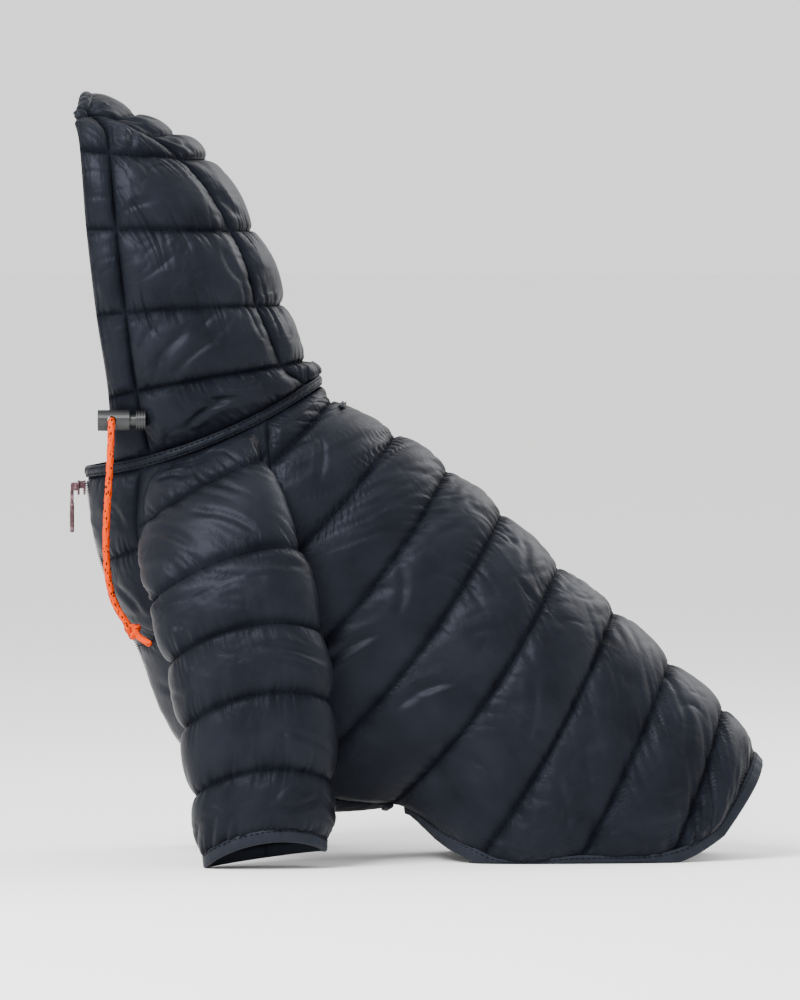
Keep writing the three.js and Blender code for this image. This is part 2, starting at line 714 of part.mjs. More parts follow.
zipHead.add(sliderMesh, pullMesh);
zipHead.position.set(slider.x, 0, slider.z);
coat.add(zipHead);

export default coat;
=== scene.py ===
import math
import bpy
import numpy as np
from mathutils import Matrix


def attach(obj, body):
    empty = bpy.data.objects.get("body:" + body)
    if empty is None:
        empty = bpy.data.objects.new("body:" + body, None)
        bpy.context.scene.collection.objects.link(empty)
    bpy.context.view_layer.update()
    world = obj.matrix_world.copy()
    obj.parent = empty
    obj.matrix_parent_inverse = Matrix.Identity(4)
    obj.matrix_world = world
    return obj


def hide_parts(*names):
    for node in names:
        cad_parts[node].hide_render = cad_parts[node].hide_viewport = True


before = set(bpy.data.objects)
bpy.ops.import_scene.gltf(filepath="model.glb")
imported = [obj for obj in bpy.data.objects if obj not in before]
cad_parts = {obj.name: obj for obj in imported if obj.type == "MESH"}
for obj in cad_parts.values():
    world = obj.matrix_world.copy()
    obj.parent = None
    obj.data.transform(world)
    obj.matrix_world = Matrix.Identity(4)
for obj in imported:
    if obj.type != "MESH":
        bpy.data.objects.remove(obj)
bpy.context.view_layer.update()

mm = 0.001
wall = 1.6          # stitched cloth at a quilt line, mm
seamGap = 0.3       # clear space between two sewn pieces, mm
seamLap = 0.12      # how far two sewn edges run under each other here, mm
collarRise = np.array([-0.12, 0.0, 0.993])
collarTall = 6.0
armpitRow = 2.2
hemStart = 5.0

# Quilt rows, neck to tail or peak: back point, lowest point, half width, the angle
# at which the lowest point is reached, and the row's bow to the tail, all in mm.
bodyRows = {
    "at":    [0, 1, 2, 3, 4, 5, 6, 7, 8, 9],
    "backX": [-53, -47.5, -13.3, 15.2, 44.5, 74.8, 105.1, 134.9, 163.8, 182],
    "backZ": [254, 243.9, 226, 206.5, 183.3, 154.6, 130.8, 102.7, 78, 54.2],
    "lowX":  [-177, -169, -149.5, -125, -83, -17.5, 29, 83, 132.5, 170.5],
    "lowZ":  [205, 160, 114.5, 60.5, 30, 27.5, 9, 6, 8, 27.5],
    "half":  [38, 47, 52, 54, 54, 55, 55, 52, 44, 30],
    "wrap":  [180, 180, 180, 180, 180, 180, 112, 98, 84, 66],
    "bow":   [8, 10, 13, 14, 12, 9, 9, 6, 6, 4],
}
bodySeams = {
    "at":    [0, 1, 1.8, 2.2, 3, 4, 5],
    "back":  [59, 66, 92, 116.5, 128, 143, 160],
    "front": [124, 134, 134, 117.5, 128, 143, 160],
}
hemAngles = {"at": [5, 5.4, 6, 7, 8, 9], "edge": [160, 149, 112, 98, 84, 66]}
hoodRows = {
    "at":    [0, 1, 2, 3, 4, 4.5, 5],
    "backX": [0, -62.9, -75, -91, -115, -142, -178],
    "backZ": [0, 267.1, 297.7, 337.6, 375.5, 392.5, 410],
    "lowX":  [0, -164.5, -171, -176.5, -180, -182.5, -185],
    "lowZ":  [0, 248, 292, 339.5, 382, 394, 403],
    "half":  [38, 45, 49, 46, 37, 28, 19],
    "wrap":  [143, 128, 122, 118, 110, 100, 90],
    "bow":   [8, -2, -2, 0, 1, 1, 7],
}
hoodSeams = {
    "at":    [0, 1, 2, 3, 4, 4.5, 4.8, 5],
    "crown": [30, 34, 36, 34, 44, 56, 61, 63],
    "band":  [118, 112, 106, 101, 91, 76, 67, 63.8],
}
sleeveRows = {
    "at":     [0, 1, 2, 2.35, 3, 4, 5, 6],
    "frontX": [-151, -147, -139, -135, -129, -121.5, -115.5, -111.5],
    "frontZ": [213, 180, 141, 130, 109, 74, 38.5, 5.6],
    "backX":  [-83.5, -81, -65, -60, -54, -49, -48, -50],
    "backZ":  [237, 216, 168, 154, 125, 88, 46, 14.5],
    "inY":    [18, 40, 63, 63, 63, 65.5, 65.5, 66],
    "outY":   [40, 62, 88, 92, 98, 101, 101, 99],
    "arch":   [0, 4, 9, 10, 12, 12, 11, 10],
    "seam":   [0, 0.75, 1.8, 2.2, 2.2, 2.2, 2.2, 2.2],
    "own":    [0, 0.8, 1, 1, 1, 1, 1, 1],
}
sleeveArmpit = 2.35


# Columns of a table at t: a cubic through the rows, its slopes from the rows beside.
def sample(table, t):
    at = np.array(table["at"], float)
    t = np.asarray(t, float)
    i = np.clip(np.searchsorted(at, t, side="right") - 1, 0, len(at) - 2)
    before = np.maximum(i - 1, 0)
    after = np.minimum(i + 2, len(at) - 1)
    span = at[i + 1] - at[i]
    f = np.clip((t - at[i]) / span, -0.02, 1.02)
    out = {}
    for key, column in table.items():
        c = np.array(column, float)
        slopeA = (c[i + 1] - c[before]) / (at[i + 1] - at[before]) * span
        slopeB = (c[after] - c[i]) / (at[after] - at[i]) * span
        out[key] = ((2 * f**3 - 3 * f**2 + 1) * c[i] + (f**3 - 2 * f**2 + f) * slopeA
                    + (3 * f**2 - 2 * f**3) * c[i + 1] + (f**3 - f**2) * slopeB)
    return out


def mix(a, b, share):
    return a + (b - a) * share


def smooth(x, low, high):
    f = np.clip((x - low) / (high - low), 0, 1)
    return f * f * (3 - 2 * f)


def unit(v):
    return v / np.maximum(np.linalg.norm(v, axis=-1, keepdims=True), 1e-9)


def stack(x, y, z):
    return np.stack(np.broadcast_arrays(x, y, z), axis=-1)


# A point of a quilt row: from the back point toward the low point by one minus the
# cosine of the angle, out sideways by its sine, and bowed by the sine squared.
def rowPoint(table, t, angle):
    row = sample(table, t)
    turn = np.radians(angle)
    share = (1 - np.cos(turn)) / (1 - np.cos(np.radians(row["wrap"])))
    dx = row["lowX"] - row["backX"]
    dz = row["lowZ"] - row["backZ"]
    length = np.hypot(dx, dz)
    bow = row["bow"] * np.sin(turn) ** 2
    return stack(row["backX"] + dx * share - bow * dz / length,
                 -row["half"] * np.sin(turn),
                 row["backZ"] + dz * share + bow * dx / length)


def bodyPoint(t, angle):
    return rowPoint(bodyRows, t, angle)


# The hood starts on the neck row, lifted by the collar seam.
hoodLift = (collarTall + 2 * seamGap) * collarRise
neckShare = (1 - math.cos(math.radians(hoodRows["wrap"][0]))) / 2
hoodRows["backX"][0] = bodyRows["backX"][0] + hoodLift[0]
hoodRows["backZ"][0] = bodyRows["backZ"][0] + hoodLift[2]
hoodRows["lowX"][0] = mix(bodyRows["backX"][0], bodyRows["lowX"][0], neckShare) + hoodLift[0]
hoodRows["lowZ"][0] = mix(bodyRows["backZ"][0], bodyRows["lowZ"][0], neckShare) + hoodLift[2]


def hoodPoint(t, angle):
    return rowPoint(hoodRows, t, angle)


# Outward direction: the cross product of the surface's two slopes.
def slopeNormal(surface, u, v, du, dv):
    alongU = surface(u + du, v) - surface(u - du, v)
    alongV = surface(u, v + dv) - surface(u, v - dv)
    return unit(np.cross(alongU, alongV))


def neckNormal(angle):
    along = bodyPoint(0, angle + 0.5) - bodyPoint(0, angle - 0.5)
    return unit(np.cross(collarRise, along))


def bodyNormal(t, angle):
    own = -slopeNormal(bodyPoint, t, angle, 0.02, 0.5)
    share = smooth(t, 0, 0.9)[..., None]
    return unit(mix(neckNormal(angle), own, share))


def hoodNormal(t, angle):
    own = slopeNormal(hoodPoint, t, angle, 0.02, 0.5)
    share = smooth(t, 0, 0.3)[..., None]
    return unit(mix(neckNormal(angle), own, share))


# Degrees that make a length along the surface at a row.
def gapAngle(surface, t, angle, length=-seamLap):
    step = np.linalg.norm(surface(t, angle + 0.5) - surface(t, angle - 0.5), axis=-1)
    return length / step


def backEdge(t):
    raw = np.where(t <= hemStart, sample(bodySeams, t)["back"], sample(hemAngles, t)["edge"])
    return raw - gapAngle(bodyPoint, t, raw)


def chestEdges(t):
    seams = sample(bodySeams, t)
    raw = np.where(t > armpitRow, seams["back"], seams["front"])
    zipAngle = 180 - np.degrees(np.arcsin(5.2 / sample(bodyRows, t)["half"]))
    return raw + gapAngle(bodyPoint, t, raw), zipAngle


# The sleeve: near its seam the body's own row, elsewhere a tube of its own.
def sleevePoint(t, q, sign):
    row = sample(sleeveRows, t)
    seamRow = np.minimum(row["seam"], armpitRow)
    seams = sample(bodySeams, seamRow)
    low = seams["back"] + 2 * gapAngle(bodyPoint, seamRow, seams["back"])
    high = seams["front"] - 2 * gapAngle(bodyPoint, seamRow, seams["front"])
    flat = bodyPoint(seamRow, sign * mix(low, high, (q + 1) / 2))
    limit = math.pi * mix(0.62, 1, smooth(t, 0, sleeveArmpit))
    turn = q * limit
    across = np.cos(turn)
    reach = (1 - np.sin(turn)) / 2
    tube = stack(mix(row["frontX"], row["backX"], reach),
                 -sign * mix(row["inY"], row["outY"], (1 + across) / 2),
                 mix(row["frontZ"], row["backZ"], reach) + row["arch"] * np.maximum(0, across) ** 1.4)
    power = mix(2.5, 18, smooth(t, 0.9, 1.9))
    nearEdge = np.where(t < sleeveArmpit, np.abs(q) ** power, 0)
    return mix(flat, tube, (row["own"] * (1 - nearEdge))[..., None])


def sleeveNormal(t, q, sign):
    inside = np.clip(q, -0.97, 0.97)
    own = -sign * slopeNormal(lambda u, v: sleevePoint(u, v, sign), np.maximum(0.03, t), inside, 0.02, 0.02)
    row = sample(sleeveRows, t)
    seams = sample(bodySeams, np.minimum(row["seam"], armpitRow))
    flat = bodyNormal(row["seam"], sign * mix(seams["back"], seams["front"], (q + 1) / 2))
    share = np.where(t < sleeveArmpit, np.maximum(np.abs(q) ** 12, 1 - smooth(t, 0, 0.3)), 0)
    return unit(mix(own, flat, share[..., None]))


# Seeded value noise: random lattice values joined by a smooth step.
def noise1(x, seed):
    values = np.random.default_rng(seed).random(2048)
    i = np.floor(x).astype(int)
    f = x - i
    f = f * f * (3 - 2 * f)
    return mix(values[i % 2048], values[(i + 1) % 2048], f)


def noise2(x, y, seed):
    values = np.random.default_rng(seed).random((128, 128))
    i = np.floor(x).astype(int)
    j = np.floor(y).astype(int)
    fx = x - i
    fy = y - j
    fx = fx * fx * (3 - 2 * fx)
    fy = fy * fy * (3 - 2 * fy)
    a = mix(values[i % 128, j % 128], values[(i + 1) % 128, j % 128], fx)
    b = mix(values[i % 128, (j + 1) % 128], values[(i + 1) % 128, (j + 1) % 128], fx)
    return mix(a, b, fy)


# A mesh from arrays of points in mm, of quads and of triangles, with UVs in metres.
def putMesh(name, points, quads, uv=None, triangles=None):
    mesh = bpy.data.meshes.new(name)
    points = np.asarray(points, float).reshape(-1, 3) * mm
    groups = [np.asarray(g, int) for g in (quads, triangles) if g is not None]
    corners = np.concatenate([g.ravel() for g in groups])
    sides = np.concatenate([np.full(len(g), g.shape[1]) for g in groups])
    mesh.vertices.add(len(points))
    mesh.vertices.foreach_set("co", points.ravel())
    mesh.loops.add(len(corners))
    mesh.loops.foreach_set("vertex_index", corners)
    mesh.polygons.add(len(sides))
    mesh.polygons.foreach_set("loop_start", np.cumsum(sides) - sides)
    mesh.polygons.foreach_set("loop_total", sides)
    mesh.polygons.foreach_set("use_smooth", np.ones(len(sides), bool))
    mesh.update(calc_edges=True)
    if uv is not None:
        layer = mesh.uv_layers.new(name="UVMap")
        layer.data.foreach_set("uv", (np.asarray(uv, float).reshape(-1, 2) * mm)[corners].ravel())
    piece = bpy.data.objects.new(name, mesh)
    bpy.context.scene.collection.objects.link(piece)
    return piece


# Turns a piece's faces out where its winding came out reversed.
def faceOut(piece):
    mesh = piece.data
    co = np.zeros(len(mesh.vertices) * 3)
    mesh.vertices.foreach_get("co", co)
    co = co.reshape(-1, 3)
    mesh.calc_loop_triangles()
    tri = np.zeros(len(mesh.loop_triangles) * 3, int)
    mesh.loop_triangles.foreach_get("vertices", tri)
    a, b, c = (co[tri.reshape(-1, 3)[:, k]] - co.mean(axis=0) for k in range(3))
    if np.einsum("ij,ij->i", a, np.cross(b, c)).sum() < 0:
        mesh.flip_normals()
    return piece


# Quads of a grid whose first index is a row; wrapped grids join their last column.
def gridQuads(rows, columns, start=0, wrapped=False, flip=False):
    i = np.arange(rows - 1)[:, None]
    j = np.arange(columns if wrapped else columns - 1)[None, :]
    nextJ = (j + 1) % columns
    a, b = start + i * columns + j, start + i * columns + nextJ
    quads = np.stack([a, b, b + columns, a + columns], axis=-1).reshape(-1, 4)
    return quads[:, ::-1] if flip else quads


# How far each grid point lies from the first column and from the first row, in mm.
def runLengths(p):
    across = np.linalg.norm(np.diff(p, axis=1), axis=-1)
    down = np.linalg.norm(np.diff(p, axis=0), axis=-1)
    s = np.concatenate([np.zeros((p.shape[0], 1)), np.cumsum(across, axis=1)], axis=1)
    d = np.concatenate([np.zeros((1, p.shape[1])), np.cumsum(down, axis=0)], axis=0)
    return s, d


# A closed wall of cloth: a plain coarse inner grid, a fine outer grid lifted by its
# height, and a rim of triangle fans that joins the two all round.
innerStep = 4


def borderLoop(rows, columns):
    return np.concatenate([
        np.arange(columns - 1),
        np.arange(rows - 1) * columns + columns - 1,
        (rows - 1) * columns + np.arange(columns - 1, 0, -1),
        np.arange(rows - 1, 0, -1) * columns,
    ])


def clothShell(name, inner, normal, height, flip, marks=None):
    rows, columns = inner.shape[:2]
    outer = inner + normal * height[..., None]
    lining = inner[::innerStep, ::innerStep]
    liningRows, liningColumns = lining.shape[:2]
    points = np.concatenate([outer.reshape(-1, 3), lining.reshape(-1, 3)])
    points[:, 2] = np.maximum(points[:, 2], 0)
    count = rows * columns
    fine = borderLoop(rows, columns)
    coarse = borderLoop(liningRows, liningColumns) + count
    own = np.repeat(coarse, innerStep)
    fans = np.stack([own, fine, np.roll(fine, -1)], axis=-1)
    ends = np.roll(fine, -innerStep)[::innerStep]
    links = np.stack([coarse, ends, np.roll(coarse, -1)], axis=-1)
    quads = np.concatenate([gridQuads(rows, columns), gridQuads(liningRows, liningColumns, count, flip=True)])
    rim = np.concatenate([fans, links])[:, ::-1]
    if flip:
        quads, rim = quads[:, ::-1], rim[:, ::-1]
    s, d = runLengths(outer)
    s = s - s.mean(axis=1, keepdims=True)
    uv = np.stack([s, d], axis=-1)
    uv = np.concatenate([uv.reshape(-1, 2), uv[::innerStep, ::innerStep].reshape(-1, 2)])
    piece = putMesh(name, points, quads, uv, rim)
    for title, values in (marks or {}).items():
        mark = piece.data.attributes.new(title, "FLOAT", "POINT")
        mark.data.foreach_set("value", np.concatenate([values.ravel(), np.zeros(lining.size // 3)]))
    return piece


# Height of a crease: a trough along a bent line between two places, measured across
# the cloth, with a low ridge on each side, fading to its ends.
def creaseHeight(p, normal, surface, creases):
    total = np.zeros(p.shape[:2])
    for t0, a0, t1, a1, width, depth in creases:
        start = surface(np.array(t0, float), np.array(a0, float))
        end = surface(np.array(t1, float), np.array(a1, float))
        axis = end - start
        length = np.linalg.norm(axis)
        along = (p - start) @ axis / length**2
        across = np.cross(normal, axis / length)
        bend = 0.07 * length * np.sin(np.clip(along, 0, 1) * math.pi)
        far = np.abs(np.einsum("ijk,ijk->ij", p - start, normal)) > 30
        away = np.abs(np.einsum("ijk,ijk->ij", p - start, across) - bend) + 100 * far
        fade = smooth(along, -0.08, 0.25) * (1 - smooth(along, 0.7, 1.08))
        trough = np.exp(-(away / width) ** 2)
        ridge = np.exp(-((away - 2 * width) / (1.3 * width)) ** 2)
        total += depth * fade * (0.45 * ridge - trough)
    return total


# Sharp folds: a smooth noise turned to narrow ridges where it crosses its middle.
def ridges(x, y, seed, sharp):
    return (1 - np.abs(2 * noise2(x, y, seed) - 1)) ** sharp


# Height over the inner face: filled channels, gathers that run out of each stitch
# line, crumples of the thin cloth, and slow unevenness of the filling; also a painted-shade mark along the stitch lines
# and gathers, and a pucker mask.
def quiltHeight(t, s, edge, pitch, look, seed):
    f = t - np.floor(t + 1e-9)
    channel = np.maximum(0, np.sin(math.pi * f)) ** look["crown"]
    rise = np.clip(edge / look["edgeFade"], 0, 1) ** 0.5
    full = 1 + look["uneven"] * (noise2(t * 1.9 + 9, s / 27 + 40, seed) - 0.5)
    toLine = np.minimum(f, 1 - f) * pitch
    cell = np.floor(t + 0.5)
    wander = s + 5 * noise1(s / 17 + 31 * cell, seed + 1) + 0.35 * toLine * (noise1(s / 13 + 5 * cell, seed + 8) - 0.5)
    fine = ridges(wander / look["gatherWide"] + 57 * cell, toLine / 30, seed + 2, 1.5)
    broad = ridges(wander / (2.4 * look["gatherWide"]) + 13 * cell, toLine / 40, seed + 3, 2.5)
    reach = look["gatherLong"] * (0.3 + 1.6 * noise1(s / 6 + 71 * cell, seed + 4) ** 1.5)
    above = np.where(f > 0.5, 1.0, look["gatherBelow"])
    gather = (0.7 * fine + 0.8 * broad) * np.exp(-(toLine / reach) ** 1.5) * above
    gather = gather * (1 - np.exp(-toLine / 0.7)) * np.minimum(1, edge / 3)
    along = t * pitch
    endGather = ridges(along / 4.6 + 17, edge / 25, seed + 5, 2.0)
    endGather = endGather * np.exp(-edge / 6) * (1 - np.exp(-edge / 0.8))
    warpS = s + 7 * noise2(s / 23, along / 23, seed + 10)
    warpD = along + 7 * noise2(s / 21 + 50, along / 21, seed + 11)
    slant = warpD + 0.55 * warpS
    across = warpS - 0.55 * warpD
    crumple = 0.6 * ridges(slant / 13, across / 30, seed + 6, 3.5) + 0.4 * ridges(slant / 6.5, across / 12, seed + 7, 2.5)
    crumple = crumple * smooth(noise2(s / 24 + 8, along / 24, seed + 12), 0.25, 0.75)
    height = wall + look["loft"] * channel * rise * full
    soft = channel * np.minimum(1, edge / 6)
    groove = np.maximum(np.exp(-(toLine / 1.1) ** 2), np.exp(-(edge / 1.0) ** 2))
    height = height - look["gatherDeep"] * gather - look["endDeep"] * endGather - look["crumple"] * crumple * soft
    # Painted shade mark: near 1 on the stitch lines and panel edges, raised in the gathers beside them; the cloth
    # material paints its gloss out to near black there.
    shade = np.clip(np.exp(-(np.minimum(toLine, edge) / 2.2) ** 1.4) + 0.35 * gather * np.exp(-toLine / 6), 0, 1)
    near = np.exp(-np.minimum(toLine, edge) / 5) * np.minimum(1, edge / 2)
    return height - 0.8 * groove, {"stitchShade": shade, "gatherShare": near}


# sRGB hex to linear colour.
def linear(hexColour):
    parts = [int(hexColour[i:i + 2], 16) / 255 for i in (1, 3, 5)]
    return [c / 12.92 if c <= 0.04045 else ((c + 0.055) / 1.055) ** 2.4 for c in parts] + [1]


def addNode(tree, kind, settings=None, links=None):
    node = tree.nodes.new(kind)
    for key, value in (settings or {}).items():
        if key in node.inputs and not hasattr(type(node), key):
            node.inputs[key].default_value = value
        else:
            setattr(node, key, value)
    for key, socket in (links or {}).items():
        tree.links.new(socket, node.inputs[key])
    return node


def newMaterial(name, shaderValues):
    material = bpy.data.materials.new(name)
    material.use_nodes = True
    tree = material.node_tree
    shader = tree.nodes["Principled BSDF"]
    for key, value in shaderValues.items():
        shader.inputs[key].default_value = value
    return material, tree, shader


# Nylon taffeta, calendered: a tight plain weave with a dull silky gloss, which its
# dyed filaments tint navy. Along its stitch lines and gathers the gloss is painted
# out to near black, a painted shade in the grooves. The real weave, about 0.15 mm,
# is too fine to show here, so it is drawn coarser.
# groove is the near-black gloss colour of the painted shade in the stitch grooves.
taffeta = {"dark": "#0b0c11", "light": "#14161c", "gloss": "#757a88", "groove": "#08090b", "threadMm": 0.9,
           "roughness": 0.44, "reflect": 0.36}


def nylonTaffeta():
    material, tree, shader = newMaterial("nylonTaffeta", {"Roughness": taffeta["roughness"], "IOR": 1.53})
    place = addNode(tree, "ShaderNodeTexCoord")
    broad = addNode(tree, "ShaderNodeTexNoise", {"Scale": 38.0, "Detail": 3.0}, {"Vector": place.outputs["Object"]})
    colour = addNode(tree, "ShaderNodeValToRGB", links={"Fac": broad.outputs["Fac"]})
    colour.color_ramp.elements[0].color = linear(taffeta["dark"])
    colour.color_ramp.elements[1].color = linear(taffeta["light"])
    colour.color_ramp.elements[0].position = 0.32
    colour.color_ramp.elements[1].position = 0.72
    tree.links.new(colour.outputs["Color"], shader.inputs["Base Color"])
    # Painted shade: the stitchShade mark turns the gloss tint to the groove colour and the reflection level to nothing,
    # darkening stitch lines and gathers.
    depth = addNode(tree, "ShaderNodeAttribute", {"attribute_name": "stitchShade"})
    gloss = addNode(tree, "ShaderNodeValToRGB", links={"Fac": depth.outputs["Fac"]})
    gloss.color_ramp.elements[0].color = linear(taffeta["gloss"])
    gloss.color_ramp.elements[1].color = linear(taffeta["groove"])
    tree.links.new(gloss.outputs["Color"], shader.inputs["Specular Tint"])
    grooveShadeLevel = addNode(tree, "ShaderNodeMapRange", {"To Min": taffeta["reflect"], "To Max": 0.0}, {"Value": depth.outputs["Fac"]})
    tree.links.new(grooveShadeLevel.outputs["Result"], shader.inputs["Specular IOR Level"])
    perThread = math.pi / (taffeta["threadMm"] * mm) / 20  # the wave node turns 20 per unit
    warp = addNode(tree, "ShaderNodeTexWave", {"bands_direction": "X", "Scale": perThread}, {"Vector": place.outputs["UV"]})
    weft = addNode(tree, "ShaderNodeTexWave", {"bands_direction": "Y", "Scale": perThread}, {"Vector": place.outputs["UV"]})
    weave = addNode(tree, "ShaderNodeMath", {"operation": "MULTIPLY"})
    tree.links.new(warp.outputs["Fac"], weave.inputs[0])
    tree.links.new(weft.outputs["Fac"], weave.inputs[1])
    threads = addNode(tree, "ShaderNodeBump", {"Strength": 0.06, "Distance": 0.00008}, {"Height": weave.outputs[0]})
    crush = addNode(tree, "ShaderNodeTexNoise", {"Scale": 260.0, "Detail": 4.0, "Distortion": 0.6},
                    {"Vector": place.outputs["Object"]})
    soft = addNode(tree, "ShaderNodeBump", {"Strength": 0.35, "Distance": 0.0006},
                   {"Height": crush.outputs["Fac"], "Normal": threads.outputs["Normal"]})
    pull = addNode(tree, "ShaderNodeMapping", {"Scale": (330, 80, 1)}, {"Vector": place.outputs["UV"]})
    pulled = addNode(tree, "ShaderNodeTexNoise", {"Scale": 1.0, "Detail": 2.0, "Distortion": 0.5},
                     {"Vector": pull.outputs["Vector"]})
    nearLine = addNode(tree, "ShaderNodeAttribute", {"attribute_name": "gatherShare"})
    puckers = addNode(tree, "ShaderNodeMath", {"operation": "MULTIPLY"})
    tree.links.new(pulled.outputs["Fac"], puckers.inputs[0])
    tree.links.new(nearLine.outputs["Fac"], puckers.inputs[1])
    soft = addNode(tree, "ShaderNodeBump", {"Strength": 0.6, "Distance": 0.0016},
                   {"Height": puckers.outputs[0], "Normal": soft.outputs["Normal"]})
    tree.links.new(soft.outputs["Normal"], shader.inputs["Normal"])
    rough = addNode(tree, "ShaderNodeMapRange", {"To Min": 0.38, "To Max": 0.54}, {"Value": broad.outputs["Fac"]})
    tree.links.new(rough.outputs["Result"], shader.inputs["Roughness"])
    return material


# Polyester binding tape, rib woven: fine cross ribs and a flatter, duller face.
bindingTape = {"colour": "#0d0f13", "light": "#1a1c22", "ribMm": 0.7}


def ribTape():
    material, tree, shader = newMaterial("polyesterRibTape", {
        "Roughness": 0.62, "IOR": 1.5, "Specular Tint": linear("#8b93a6")})
    place = addNode(tree, "ShaderNodeTexCoord")
    perRib = math.pi / (bindingTape["ribMm"] * mm) / 20
    ribs = addNode(tree, "ShaderNodeTexWave", {"bands_direction": "Y", "Scale": perRib}, {"Vector": place.outputs["UV"]})
    fuzz = addNode(tree, "ShaderNodeTexNoise", {"Scale": 120.0, "Detail": 4.0}, {"Vector": place.outputs["Object"]})
    colour = addNode(tree, "ShaderNodeValToRGB", links={"Fac": fuzz.outputs["Fac"]})
    colour.color_ramp.elements[0].color = linear(bindingTape["colour"])
    colour.color_ramp.elements[1].color = linear(bindingTape["light"])
    tree.links.new(colour.outputs["Color"], shader.inputs["Base Color"])
    bump = addNode(tree, "ShaderNodeBump", {"Strength": 0.3, "Distance": 0.00015}, {"Height": ribs.outputs["Fac"]})
    tree.links.new(bump.outputs["Normal"], shader.inputs["Normal"])
    return material


# Spun polyester thread, twisted: dark, matt, with a slight lift over the cloth.
def spunThread():
    material, tree, shader = newMaterial("spunPolyesterThread", {
        "Roughness": 0.75, "IOR": 1.5, "Base Color": linear("#0b0c10"), "Specular Tint": linear("#4a4f5a")})
    place = addNode(tree, "ShaderNodeTexCoord")
    twist = addNode(tree, "ShaderNodeTexNoise", {"Scale": 900.0}, {"Vector": place.outputs["Object"]})
    bump = addNode(tree, "ShaderNodeBump", {"Strength": 0.4, "Distance": 0.0001}, {"Height": twist.outputs["Fac"]})
    tree.links.new(bump.outputs["Normal"], shader.inputs["Normal"])
    return material


# Nylon zip coil, dyed dark wine brown: moulded filament, slightly glossy.
def coilNylon():
    material, tree, shader = newMaterial("dyedNylonCoil", {
        "Roughness": 0.42, "IOR": 1.53, "Base Color": linear("#3a2329")})
    place = addNode(tree, "ShaderNodeTexCoord")
    wear = addNode(tree, "ShaderNodeTexNoise", {"Scale": 300.0}, {"Vector": place.outputs["Object"]})
    rough = addNode(tree, "ShaderNodeMapRange", {"To Min": 0.34, "To Max": 0.52}, {"Value": wear.outputs["Fac"]})
    tree.links.new(rough.outputs["Result"], shader.inputs["Roughness"])
    return material


# Zinc alloy, die cast and painted: wine brown enamel with rubbed, brighter specks.
def paintedZinc():
    material, tree, shader = newMaterial("paintedZincAlloy", {"Roughness": 0.36, "Metallic": 0.35})
    place = addNode(tree, "ShaderNodeTexCoord")
    wear = addNode(tree, "ShaderNodeTexNoise", {"Scale": 420.0, "Detail": 5.0}, {"Vector": place.outputs["Object"]})
    colour = addNode(tree, "ShaderNodeValToRGB", links={"Fac": wear.outputs["Fac"]})
    colour.color_ramp.elements[0].color = linear("#3b2026")
    colour.color_ramp.elements[1].color = linear("#7d6268")
    colour.color_ramp.elements[0].position = 0.5
    colour.color_ramp.elements[1].position = 0.78
    tree.links.new(colour.outputs["Color"], shader.inputs["Base Color"])
    return material


# Acetal, injection moulded: black, satin, with a fine spark-eroded grain.
def mouldedAcetal():
    material, tree, shader = newMaterial("mouldedAcetal", {
        "Roughness": 0.36, "IOR": 1.48, "Base Color": linear("#17181a")})
    place = addNode(tree, "ShaderNodeTexCoord")
    grain = addNode(tree, "ShaderNodeTexNoise", {"Scale": 2200.0, "Detail": 2.0}, {"Vector": place.outputs["Object"]})
    bump = addNode(tree, "ShaderNodeBump", {"Strength": 0.15, "Distance": 0.00006}, {"Height": grain.outputs["Fac"]})
    tree.links.new(bump.outputs["Normal"], shader.inputs["Normal"])
    return material


# Polyester cord, braided: bright orange strands with dark flecks in the braid.
braid = {"colour": "#c83a00", "fleck": "#120e0c", "fleckShare": 0.3}


def braidedPolyester():
    material, tree, shader = newMaterial("braidedPolyester", {
        "Roughness": 0.7, "IOR": 1.5, "Specular Tint": linear("#b8481a")})
    place = addNode(tree, "ShaderNodeTexCoord")
    stretch = addNode(tree, "ShaderNodeMapping", {"Scale": (900, 520, 1)}, {"Vector": place.outputs["UV"]})
    cells = addNode(tree, "ShaderNodeTexVoronoi", {"Scale": 1.0, "Randomness": 0.75}, {"Vector": stretch.outputs["Vector"]})
    split = addNode(tree, "ShaderNodeSeparateColor", links={"Color": cells.outputs["Color"]})
    pick = addNode(tree, "ShaderNodeMath", {"operation": "GREATER_THAN", "use_clamp": True})
    tree.links.new(split.outputs["Red"], pick.inputs[0])
    pick.inputs[1].default_value = 1 - braid["fleckShare"]
    near = addNode(tree, "ShaderNodeMath", {"operation": "LESS_THAN"})
    tree.links.new(cells.outputs["Distance"], near.inputs[0])
    near.inputs[1].default_value = 0.42
    both = addNode(tree, "ShaderNodeMath", {"operation": "MULTIPLY"})
    tree.links.new(pick.outputs[0], both.inputs[0])
    tree.links.new(near.outputs[0], both.inputs[1])
    blend = addNode(tree, "ShaderNodeMix", {"data_type": "RGBA"})
    blend.inputs[6].default_value = linear(braid["colour"])
    blend.inputs[7].default_value = linear(braid["fleck"])
    tree.links.new(both.outputs[0], blend.inputs[0])
    tree.links.new(blend.outputs[2], shader.inputs["Base Color"])
    return material


materials = {
    "shell": nylonTaffeta(),
    "tape": ribTape(),
    "thread": spunThread(),
    "coil": coilNylon(),
    "zinc": paintedZinc(),
    "acetal": mouldedAcetal(),
    "cord": braidedPolyester(),
}
print("materials made")


# Gives a piece its material and body, and hides the CAD nodes that it stands for.
def finish(piece, material, nodes=(), body="coat"):
    piece.data.materials.append(materials[material])
    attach(piece, body)
    if nodes:
        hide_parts(*nodes)
    return piece


